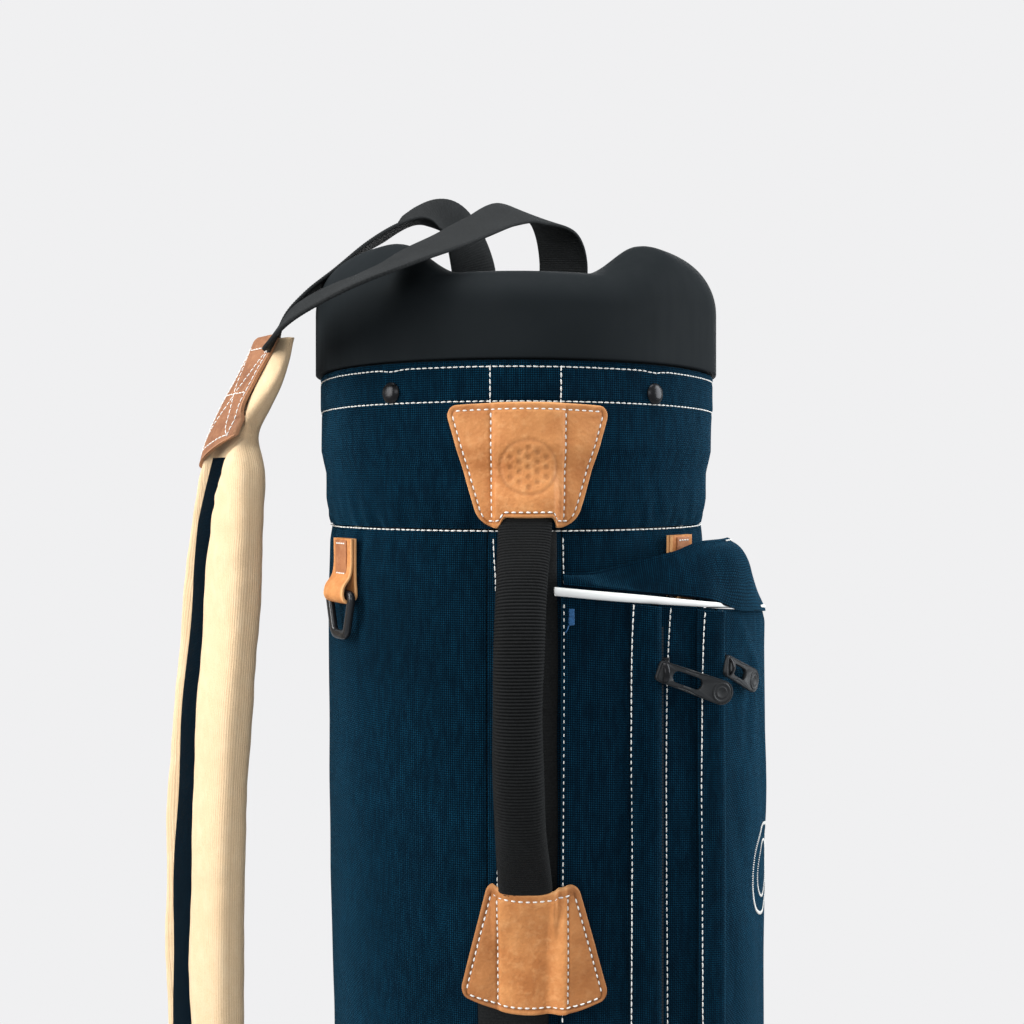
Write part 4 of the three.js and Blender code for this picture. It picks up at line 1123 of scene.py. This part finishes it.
def bartack():
    """Blue thread across the top of the pocket's front seam, with a loose end."""
    form = Form()
    for row in range(13):
        z = 698.5 - 0.62 * row
        x = np.linspace(3.2, 6.6, 6)
        stitches(form, pocket_at(x, np.full(6, z), 0.3), plan_out(x), 3.1, 0.1, 0.6, 0.4, seed=90 + row)
    loose = Curve([pocket_at(3.4, 690.5, 0.4), pocket_at(2.6, 688.6, 1.2), pocket_at(1.9, 687.4, 1.0)])
    s = np.linspace(0, loose.length, 12)
    along = loose.tangent(s)
    side = unit(np.cross(along, [0.0, -1, 0.1]))
    bar(form, loose.at(s), side, np.cross(along, side), superellipse(0.25, 0.25, 6, 1))
    make(form, "pocket_bartack", BLUE_THREAD)


def side_badge():
    """Two plain embroidered rings on the pocket's outer panel."""
    form = Form()
    for radius, reach in ((24, 2.4), (15, 1.8)):
        count = int(2 * math.pi * radius / BADGE_PITCH)
        spoke = np.array([radius - reach / 2, radius + reach / 2])
        for k in range(count):
            a = 2 * math.pi * k / count
            distance = BADGE_DISTANCE + spoke * math.cos(a)
            z = BADGE_HEIGHT + spoke * math.sin(a)
            line = pocket_at(distance, z, 0.2)
            stitches(form, line, plan_out(distance), reach - 0.4, 0.1, 0.6, 0.25, seed=k)
    sew(form, "side_badge_embroidery")


# ---- zips ----
def stadium(x0, x1, r0, r1, count, angles_from, square=1.0):
    """Points where rays from the middle of a slot-like outline meet it, one for each angle."""
    dense = []
    for a in np.linspace(math.pi / 2, 3 * math.pi / 2, 61):
        c, s = math.cos(a), math.sin(a)
        dense.append((x0 + r0 * np.sign(c) * abs(c) ** square, r0 * np.sign(s) * abs(s) ** square))
    for a in np.linspace(-math.pi / 2, math.pi / 2, 60):
        dense.append((x1 + r1 * math.cos(a), r1 * math.sin(a)))
    dense = np.array(dense + dense[:1])
    s = np.concatenate([[0], np.cumsum(np.linalg.norm(np.diff(dense, axis=0), axis=1))])
    dense = np.stack([np.interp(np.linspace(0, s[-1], 1500), s, c) for c in dense.T], axis=1)
    angle = np.unwrap(np.arctan2(dense[:, 1], dense[:, 0] - angles_from))
    wanted = np.linspace(0, 2 * math.pi, count, endpoint=False) + angle[0]
    return np.stack([np.interp(wanted, angle, c) for c in dense.T], axis=1)


def zip_pull(number, place):
    """A flat rubber plate with a long slot and a sunk disc near its end."""
    count = 120
    outer = stadium(1.2, 33, 5.3, 6.2, count, SLOT_MIDDLE, 0.35)
    slot = stadium(7.5, 18.5, 2.9, 2.9, count, SLOT_MIDDLE)

    def ring(outline, inset, y):
        moved = outline - unit(outline - np.array([SLOT_MIDDLE, 0])) * inset
        return np.stack([moved[:, 0], np.full(count, y), moved[:, 1]], axis=1)

    front, back = -6.4, -4.2
    rings = [ring(outline, inset, y) for outline, inset, y in (
        (slot, 0, front + 0.4), (slot, -0.4, front), (outer, 1.5, front), (outer, 1.2, front + 0.25),
        (outer, 0.9, front), (outer, 0.35, front), (outer, 0, front + 0.4), (outer, 0, back - 0.4),
        (outer, 0.4, back), (slot, -0.4, back), (slot, 0, back - 0.4))]
    form = Form()
    tube(form, place(np.array(rings)), closed=True)
    disc = [(0, -0.15), (4.9, -0.15), (4.9, 0.3), (4.5, 0.45), (4.1, 0.3), (3.9, 0.12),
            (3.0, 0.12), (2.8, 0.3), (2.4, 0.3), (2.2, 0.12), (0, 0.12)]

    def on_plate(points):
        return place(np.stack([points[..., 0] + 32.6, front - points[..., 2], points[..., 1]], axis=-1))

    lathe(form, disc, 40, on_plate)
    make(form, f"zip_pull_{number}_plate", PULL_RUBBER, f"pull_{number}",
         f"zipper_pull_{number}", sharp=50)


def zip_chain(number, place):
    """A flat tape with two interleaved rows of teeth."""
    form = Form()
    block(form, (7, 1.4, ZIP_TOP - ZIP_BOTTOM), (0, 1.6, (ZIP_TOP + ZIP_BOTTOM) / 2), 0.4, place)
    outline = ((-0.5, -0.5), (2.1, -0.6), (2.1, 0.6), (-0.5, 0.5))
    faces = [[0, 2, 4, 6], [1, 7, 5, 3], [0, 1, 3, 2], [2, 3, 5, 4], [4, 5, 7, 6], [6, 7, 1, 0]]
    pitch = 1.6
    for k in range(int((ZIP_TOP - ZIP_BOTTOM - 2) / pitch)):
        for side in (-1, 1):
            z = ZIP_BOTTOM + 1 + pitch * (k + (0.5 if side > 0 else 0))
            form.add(place([(side * x, y, z + dz) for x, dz in outline for y in (0.15, 1.2)]), faces)
    make(form, f"zip_chain_{number}_coil", ZIP_NYLON, replaces=f"zipper_chain_{number}")


def zip_slider(number, place):
    form = Form()
    block(form, (9, 1.5, 13), (0, -0.9, 0), 0.5, place)
    block(form, (7.2, 1.6, 9.5), (0, -2.3, 0.6), 0.6, place)
    bail = Curve([(0, y, z) for y, z in (
        (-2.4, 5.4), (-6.2, 4.4), (-8.0, 1.5), (-8.0, -1.5), (-6.2, -4.4), (-2.4, -5.4))])
    s = np.linspace(0, bail.length, 40)
    across = np.tile([1.0, 0, 0], (40, 1))
    out = np.cross(bail.tangent(s), across)
    bar(form, place(bail.at(s)), across @ place.turn.T, out @ place.turn.T, superellipse(1.5, 0.6, 12, 0.7))
    make(form, f"zip_slider_{number}_body", BLACK_METAL, f"slider_{number}",
         f"zipper_slider_{number}")


def zips():
    for number, distance in enumerate(ZIPS, 1):
        where, out = PLAN.at(distance), plan_out(distance)
        heading = math.degrees(math.atan2(out[0], -out[1]))
        post = where + out * SLIDER_LIFT + [0, 0, SLIDER_HEIGHT]
        zip_chain(number, Place(where, heading))
        zip_slider(number, Place(post, heading))
        zip_pull(number, Place(post, heading, 0, -PULL_DROOP))


# ---- shoulder strap ----
STRAP_PATH = Curve([(x, STRAP_Y, z) for x, z in (
    (-134, 840), (-148, 806), (-157, 773), (-163, 696), (-168.5, 622), (-171.5, 548), (-171.5, 463),
    (-165, 380), (-150, 310), (-126, 262))])
STRAP_OUT = polar(1.0, STRAP_FACE, 0)
STRAP_ACROSS = np.array([-STRAP_OUT[1], STRAP_OUT[0], 0])
HIDE_TOP, HIDE_FOOT = 0.115, 0.93


def pad_fullness(share):
    return np.minimum(ease(share, 0, 0.15), ease(1 - share, 0, 0.13))


def pad_reach(share, knots):
    """How far the pad goes to one side of its middle line, softened over nearby shares."""
    nearby = np.asarray(share) + np.linspace(-0.01, 0.01, 5).reshape(-1, *[1] * np.ndim(share))
    return np.interp(nearby, *knots).mean(0)


def strip_wide(share):
    """Half the width of the sunk channel's floor."""
    return 7 + 10 * np.asarray(share)


def pad_section(share, sides=72):
    """The pad across: two soft lanes with a sunk channel between them on its face."""
    full = pad_fullness(share)[:, None]
    angles = (np.arange(sides) + 0.5) * 2 * math.pi / sides
    c, s = np.cos(angles), np.sin(angles)
    reach = np.where(c > 0, pad_reach(share, PAD_RIGHT)[:, None], pad_reach(share, PAD_LEFT)[:, None])
    a = reach * np.sign(c) * np.abs(c) ** 0.8
    o = lerp(4, PAD_HALF_THICKNESS, full) * np.sign(s) * np.abs(s) ** 0.62
    from_strip = np.abs(a - np.interp(share, *STRIP_PLACE)[:, None])
    wide = strip_wide(share)[:, None]
    channel = 6.5 * full * (1 - ease(from_strip, wide, wide + 5)) * (s > 0)
    spine = 2.2 * full * (1 - ease(np.abs(a), 2, 13)) * (s < 0)
    return a, o - channel + spine


def strap_points(share, a, o):
    """Frame points from a share along the strap, a place across it and a height out of its middle."""
    middle = STRAP_PATH.at(np.asarray(share) * STRAP_PATH.length)
    return middle + np.asarray(a)[..., None] * STRAP_ACROSS + np.asarray(o)[..., None] * STRAP_OUT


def strap():
    shares = np.linspace(0.004, 0.996, 260)
    a, o = pad_section(shares)
    rings = strap_points(np.broadcast_to(shares[:, None], a.shape), a, o)
    out = unit(a[..., None] * STRAP_ACROSS * 0.2 + o[..., None] * STRAP_OUT)
    near_end = np.exp(-shares / 0.12) + np.exp(-(1 - shares) / 0.1)
    crumple = (0.1 + 0.6 * near_end[:, None]) * ripple(rings, 17, 92, (0.5, 0.5, 1))
    wave = 0.45 * ripple(rings, 60, 91) + crumple
    rings = rings + out * (wave * pad_fullness(shares)[:, None])[..., None]
    form = Form()
    tube(form, rings)
    pad = make(form, "strap_velour_pad", VELOUR, "strap", "strap_pad", sharp=80)

    strip = Form()
    shares = np.linspace(HIDE_TOP + 0.004, HIDE_FOOT - 0.004, 240)
    half_thickness = lerp(4, PAD_HALF_THICKNESS, pad_fullness(shares))
    floor = half_thickness - 6.5 * pad_fullness(shares)
    wave = 0.5 * np.sin(shares * 40) * pad_fullness(shares)

    def surface(lift):
        def points(u, v):
            crown = 1.2 * (1 - u**2)
            across = np.interp(shares[v], *STRIP_PLACE) + u * (strip_wide(shares[v]) + 2.5)
            return strap_points(shares[v], across, (floor + wave)[v] + lift + crown)
        return points

    shell(strip, surface(1.6), surface(0.2), np.linspace(-1, 1, 15), np.arange(240))
    make(strip, "strap_sunk_strip", NAVY_CLOTH, "strap", "strap_face_strip")

    strap_hide("top", 0.0, HIDE_TOP, 1, 15)
    strap_hide("bottom", 1.0, HIDE_FOOT, -1, 28)


def strap_hide(end, tip, root, turn, reach):
    """A leather cover over the face of the strap's end, with a boxed cross of stitches.

    It reaches that far to the right, and the pile past it is bare.
    """
    steps = 90
    share = np.linspace(tip, root, steps)
    full = pad_fullness(share)
    round_tip = np.sqrt(np.clip((np.abs(share - tip) + 0.002) / 0.006, 0, 1))
    left, right = pad_reach(share, PAD_LEFT), pad_reach(share, PAD_RIGHT)
    half = (left - 1 + reach) / 2 * round_tip
    middle = (reach + 1 - left) / 2
    thick = lerp(4, PAD_HALF_THICKNESS, full)

    def height(a, k):
        edge = np.clip(np.abs(a) / np.where(a > 0, np.maximum(right[k], reach + 1), left[k]) * 0.97, 0, 1)
        return thick[k] * (1 - edge**3) ** 0.4 + 0.8

    u_values = np.linspace(-1, 1, 41)

    def surface(lift):
        def points(u, k):
            a = middle[k] + u * half[k]
            soft = 0.35 * ripple(strap_points(share[k], a, 0 * a), 22, 95)
            slant = 0.014 * turn * u * (np.asarray(k) / steps) ** 4
            return strap_points(share[k] - slant, a, height(a, k) + soft + lift)
        return points

    def mark(u, k):
        near = np.minimum((1 - np.abs(u)) * half[k], np.abs(share[k] - root) * STRAP_PATH.length)
        return np.stack([np.clip(1 - near / 1.2, 0, 1), 0 * near], axis=-1)

    form = Form()
    shell(form, surface(1.6), surface(-0.4), u_values, np.arange(steps), mark=mark)
    make(form, f"strap_{end}_hide", SHADED_STRAP_HIDE, "strap", f"strap_leather_{end}", sharp=60)

    rows = Form()
    k = np.arange(6, steps - 4)
    lines = [(np.full(len(k), side * 0.82), k) for side in (-1, 1)]
    cross = np.linspace(0, 1, 60)
    first, last = 10, steps - 8
    for row in (first, last, steps // 2):
        lines.append((lerp(-0.8, 0.8, cross), np.full(60, row)))
    for a, b in ((-0.8, 0.8), (0.8, -0.8)):
        lines.append((lerp(a, b, cross), np.round(lerp(first, last, cross)).astype(int)))
    for number, (u, where) in enumerate(lines):
        stitches(rows, surface(1.7)(u, where), np.tile(STRAP_OUT, (len(u), 1)), seed=100 + number)
    sew(rows, f"strap_{end}_stitches", "strap")


def ribbed_tape(form, route, sides, width, gather=1.0, thickness=2.0, pitch=1.5):
    """Ribbed webbing along a route, with the way across it at each of the route's points.

    Its width is gathered to that share over the last 45 mm.
    """
    path = Curve(route)
    s = np.arange(0, path.length, pitch / 4)
    along = path.tangent(s)
    nearby = s + np.linspace(-9, 9, 7)[:, None]
    side = np.stack([np.interp(nearby, path.knots, column).mean(0) for column in np.array(sides).T], axis=-1)
    side = unit(side - (side * along).sum(1, keepdims=True) * along)
    flat = np.array([(-1, -0.7), (-0.96, -1), (-0.5, -1), (0, -1), (0.5, -1), (0.96, -1), (1, -0.7),
                     (1, 0.7), (0.96, 1), (0.5, 1), (0, 1), (-0.5, 1), (-0.96, 1), (-1, 0.7)])
    half = thickness / 2 - 0.15 + 0.24 * rib(s, pitch)
    reach = width / 2 * lerp(1, gather, ease(s, path.length - 45, path.length - 6))
    bar(form, path.at(s), side, np.cross(along, side), stretched(flat, reach, half))


# The strap's two legs, and the way across each at every point of its route. The last ten ways across of the
# front leg and the last six of the rear leg come from a search outside this script.
FRONT_LEG = (
    (27, 63, 846), (30, 64, 872), (33, 61, 900), (26, 45, 918), (4, 14, 921), (-15, -25, 907),
    (-33, -62, 890), (-47, -92, 877), (-62, -110, 866), (-82, -117, 856), (-104, -106, 847.5),
    (-120, -84, 841), (-130, -56, 838), (-134, -39, 832))
FRONT_SIDES = (
    (0.93, -0.37, 0), (0.93, -0.37, 0), (0.93, -0.35, -0.1), (0.86, -0.42, -0.3), (0.79, -0.39, -0.47),
    (0.91, -0.38, -0.16), (0.91, -0.41, -0.06), (0.87, -0.5, -0.05), (0.61, -0.79, -0.08),
    (0.04, -0.95, -0.3), (-0.4, -0.72, -0.56), (-0.47, -0.47, -0.74), (-0.4, -0.4, -0.8), (-0.38, -0.4, -0.8))
REAR_LEG = (
    (-24, 63, 846), (-24, 65, 872), (-25, 64, 899), (-36, 52, 922), (-57, 30, 919), (-76, 11, 907),
    (-91, -2, 894), (-108, -14, 876), (-123, -24, 860), (-131, -30, 848), (-135, -34, 831))
REAR_SIDES = (
    (0.93, 0.37, 0), (0.93, 0.37, 0), (0.85, 0.5, 0.15), (0.55, 0.7, 0.4), (0.35, 0.8, 0.4),
    (-0.55, 0.79, -0.26), (-0.46, 0.86, -0.22), (-0.41, 0.89, -0.19), (-0.36, 0.91, -0.22),
    (-0.3, 0.92, -0.25), (-0.35, 0.92, -0.15))


def strap_webbing():
    for name, route, sides in (("front", FRONT_LEG, FRONT_SIDES), ("rear", REAR_LEG, REAR_SIDES)):
        form = Form()
        ribbed_tape(form, route, sides, 32, gather=0.4)
        leg = make(form, f"strap_{name}_leg_tape", RIBBED_TAPE, None,
                   f"strap_webbing_{name}", sharp=80)
        start, end = np.array(route[5]) * MM, np.array(route[-1]) * MM
        tuple(start)
        tuple(end)
        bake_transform(leg)

    heading, height, _, _ = HARDWARE["lower"]
    foot = polar(np.interp(height, *BODY_PROFILE) + 12.5, heading, 222)
    top = np.array([-125.5, STRAP_Y, 258])
    down = unit(foot - top)
    end = foot - down * 3
    form = Form()
    middle = (top + end) / 2
    ribbed_tape(form, [top, middle, end], [STRAP_ACROSS] * 3, 24)
    lower = make(form, "strap_lower_tape", RIBBED_TAPE, None, "strap_webbing_lower", sharp=80)
    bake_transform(lower)

    normal = unit(np.cross(down, STRAP_ACROSS))
    across = np.cross(normal, down)
    form = Form()

    def place(points):
        return middle + points[..., :1] * across + points[..., 1:2] * normal + points[..., 2:] * down

    for y in (-4.6, 4.6):
        block(form, (30, 4.6, 4), (0, y, 0), 0.9, place)
    for x in (-13.9, 13.9):
        block(form, (2.3, 9, 3.9), (x, 0, 0), 0.7, place)
    make(form, "strap_slide_adjuster", RING_PLASTIC, "adjuster", "strap_adjuster")


# ---- inside and base ----
def dividers():
    top, neck = high("divider_left", Z), 776
    bottom = low("divider_left", Z)
    outer, inner = TUBE_RADIUS - 3.5, COLLAR_INSIDE - 4

    def sheet(name, node, heading, near=None):
        """A cloth from the wall to near the middle, or without near right across."""
        z = np.concatenate([np.linspace(bottom, neck, 60), np.linspace(neck + 1, top, 10)])
        reach = np.where(z <= neck, outer, inner)

        def surface(side):
            def points(u, v):
                x = lerp(-reach[v] if near is None else near, reach[v], u)
                wave = 0.5 * np.sin(z[v] / 60) * np.sin(math.pi * u)
                local = np.stack([x, side * 0.7 + wave, z[v]], axis=-1)
                return Place((0, 0, 0), heading)(local)
            return points

        form = Form()
        shell(form, surface(1), surface(-1), np.linspace(0, 1, 24), np.arange(len(z)))
        piece = make(form, name, LINING, replaces=node)

    sheet("divider_right_cloth", "divider_right", 0, 1.3)
    sheet("divider_left_cloth", "divider_left", 180, 1.3)
    sheet("divider_fore_aft_cloth", "divider_fore_aft", 90)

    form = Form()
    ring_top, ring_bottom = high("divider_frame", Z), low("divider_frame", Z)
    inside, outside = 74, COLLAR_INSIDE - 0.7
    lathe(form, [(inside, ring_bottom), (outside, ring_bottom), (outside, ring_top - 1.4),
                 (outside - 1.4, ring_top), (inside + 1.4, ring_top), (inside, ring_top - 1.4),
                 (inside, ring_bottom + 0.01)], 120)
    for heading in (0, 90):
        place = Place((0, 0, (ring_top + ring_bottom) / 2 - 1), heading)
        block(form, (2 * inside + 2, 8, ring_top - ring_bottom - 2), (0, 0, 0), 2.6, place)
    make(form, "divider_top_moulding", MOULDED, replaces="divider_frame")


def liner_and_base():
    form = Form()
    bottom = low("inner_tube", Z)
    inside = TUBE_RADIUS - 2.5
    lathe(form, [(inside, bottom), (TUBE_RADIUS, bottom), (TUBE_RADIUS, TUBE_TOP), (inside + 0.6, TUBE_TOP),
                 (inside, TUBE_TOP - 0.6), (inside, bottom + 0.01)], 120)
    make(form, "liner_tube", LINER, replaces="inner_tube")

    pad_top = high("base_wear_pad", Z)
    pad_radius = high("base_wear_pad", X)
    cup = [(0, pad_top + 0.4), (101, pad_top + 0.4), (103.5, pad_top + 1), (105.6, pad_top + 2.6),
           (107, pad_top + 4.8), (BASE_RADIUS, pad_top + 8), (BASE_RADIUS, 24), (BASE_RADIUS - 0.7, 25),
           (BASE_RADIUS - 0.7, 27), (BASE_RADIUS, 28), (BASE_RADIUS, BASE_HEIGHT - 1.4),
           (BASE_RADIUS - 0.5, BASE_HEIGHT - 0.4), (BASE_RADIUS - 1.5, BASE_HEIGHT),
           (BASE_RADIUS - 3, BASE_HEIGHT), (BASE_RADIUS - 3, pad_top + 5), (0, pad_top + 5)]
    form = Form()
    lathe(form, cup, 144)
    make(form, "base_cup_moulding", MOULDED, replaces="base_cup", sharp=50)
    grooves = [(0, 0.4), (20, 0.4)]
    for radius in (30, 50, 70, 88):
        grooves += [(radius - 2, 0), (radius, 0), (radius + 6, 0), (radius + 7, 0.7), (radius + 9, 0.7)]
    form = Form()
    lathe(form, [*grooves, (pad_radius - 1, 0), (pad_radius, 1), (pad_radius, pad_top), (0, pad_top)], 120)
    make(form, "base_wear_disc", WEAR_RUBBER, replaces="base_wear_pad")
    dome = [(0, 0), (4.5, 0), (4.5, 0.5), (4.1, 1.0), (3.2, 1.45), (2, 1.7), (0, 1.8)]
    studs("base_rivet_head", "base_rivet", (30, 120, 210, 300), BASE_RADIUS + 0.3, 36, dome, 28)
    for number in (1, 2, 3):
        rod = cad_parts[f"stay_rod_{number}"]
        rod.data.materials.clear()
        rod.data.materials.append(FIBREGLASS)


# ---- stage, lights and camera ----
def stage():
    mesh = bpy.data.meshes.new("floor")
    angles = np.linspace(0, 2 * math.pi, 96, endpoint=False)
    rim = [(0.72 * math.cos(a), 0.72 * math.sin(a), -0.0005) for a in angles]
    mesh.from_pydata(rim, [], [list(range(96))])
    g = Graph("pale_floor")
    mesh.materials.append(g.finish(Base_Color=(0.42, 0.42, 0.43), Roughness=0.9))
    floor = bpy.data.objects.new("floor", mesh)
    bpy.context.scene.collection.objects.link(floor)


def soft_light(name, place, target, size, power, colour=(1, 1, 1)):
    data = bpy.data.lights.new(name, "AREA")
    data.shape = "RECTANGLE"
    data.size, data.size_y = size
    data.energy = power
    data.color = colour
    lamp = bpy.data.objects.new(name, data)
    lamp.location = place
    lamp.rotation_euler = (Vector(target) - Vector(place)).to_track_quat("-Z", "Y").to_euler()
    bpy.context.scene.collection.objects.link(lamp)


def lights():
    world = bpy.data.worlds.new("studio")
    bpy.context.scene.world = world
    world.use_nodes = True
    nodes, links = world.node_tree.nodes, world.node_tree.links
    nodes.clear()
    seen = nodes.new("ShaderNodeBackground")
    seen.inputs[0].default_value = (0.871, 0.871, 0.88, 1)
    fill = nodes.new("ShaderNodeBackground")
    fill.inputs[0].default_value = (0.9, 0.95, 1.0, 1)
    fill.inputs[1].default_value = 0.5
    path = nodes.new("ShaderNodeLightPath")
    mixed = nodes.new("ShaderNodeMixShader")
    out = nodes.new("ShaderNodeOutputWorld")
    links.new(path.outputs["Is Camera Ray"], mixed.inputs[0])
    links.new(fill.outputs[0], mixed.inputs[1])
    links.new(seen.outputs[0], mixed.inputs[2])
    links.new(mixed.outputs[0], out.inputs[0])
    soft_light("left_softbox", (-1.5, -0.7, 1.35), (0, 0, 0.65), (0.9, 1.6), 42, (1, 0.99, 0.97))
    soft_light("right_softbox", (1.6, -0.1, 1.25), (0, 0, 0.6), (0.9, 1.6), 34, (0.95, 0.98, 1))
    soft_light("top_softbox", (0, -0.2, 2.3), (0, 0, 0.6), (1.4, 1.2), 22)
    soft_light("front_softbox", (-0.2, -2.4, 1.3), (0, 0, 0.7), (1.6, 1.0), 15)
    soft_light("back_softbox", (0.4, 1.9, 1.2), (0, 0, 0.6), (1.2, 1.4), 20)


def camera():
    data = bpy.data.cameras.new("camera")
    data.lens = 39.06
    data.sensor_width = 36
    data.shift_x = -0.0039
    data.shift_y = -0.0264
    view = bpy.data.objects.new("camera", data)
    view.location = (-0.0272, -0.6494, 0.759)
    view.rotation_euler = (math.pi / 2, 0, math.radians(-2.4))
    bpy.context.scene.collection.objects.link(view)
    bpy.context.scene.camera = view
    bpy.context.scene.view_settings.view_transform = "Standard"


camera()
stage()
lights()
collar()
canvas_tube()
snaps()
patches()
spine_and_grip()
for side, (heading, height, lean, body) in HARDWARE.items():
    ring_and_tab(side, heading, height, lean, body)
pocket_walls()
for number, distance in enumerate(ZIPS, 1):
    zip_flap(number, distance)
pocket_floor()
pocket_roof()
piping()
bartack()
side_badge()
zips()
strap()
strap_webbing()
dividers()
liner_and_base()
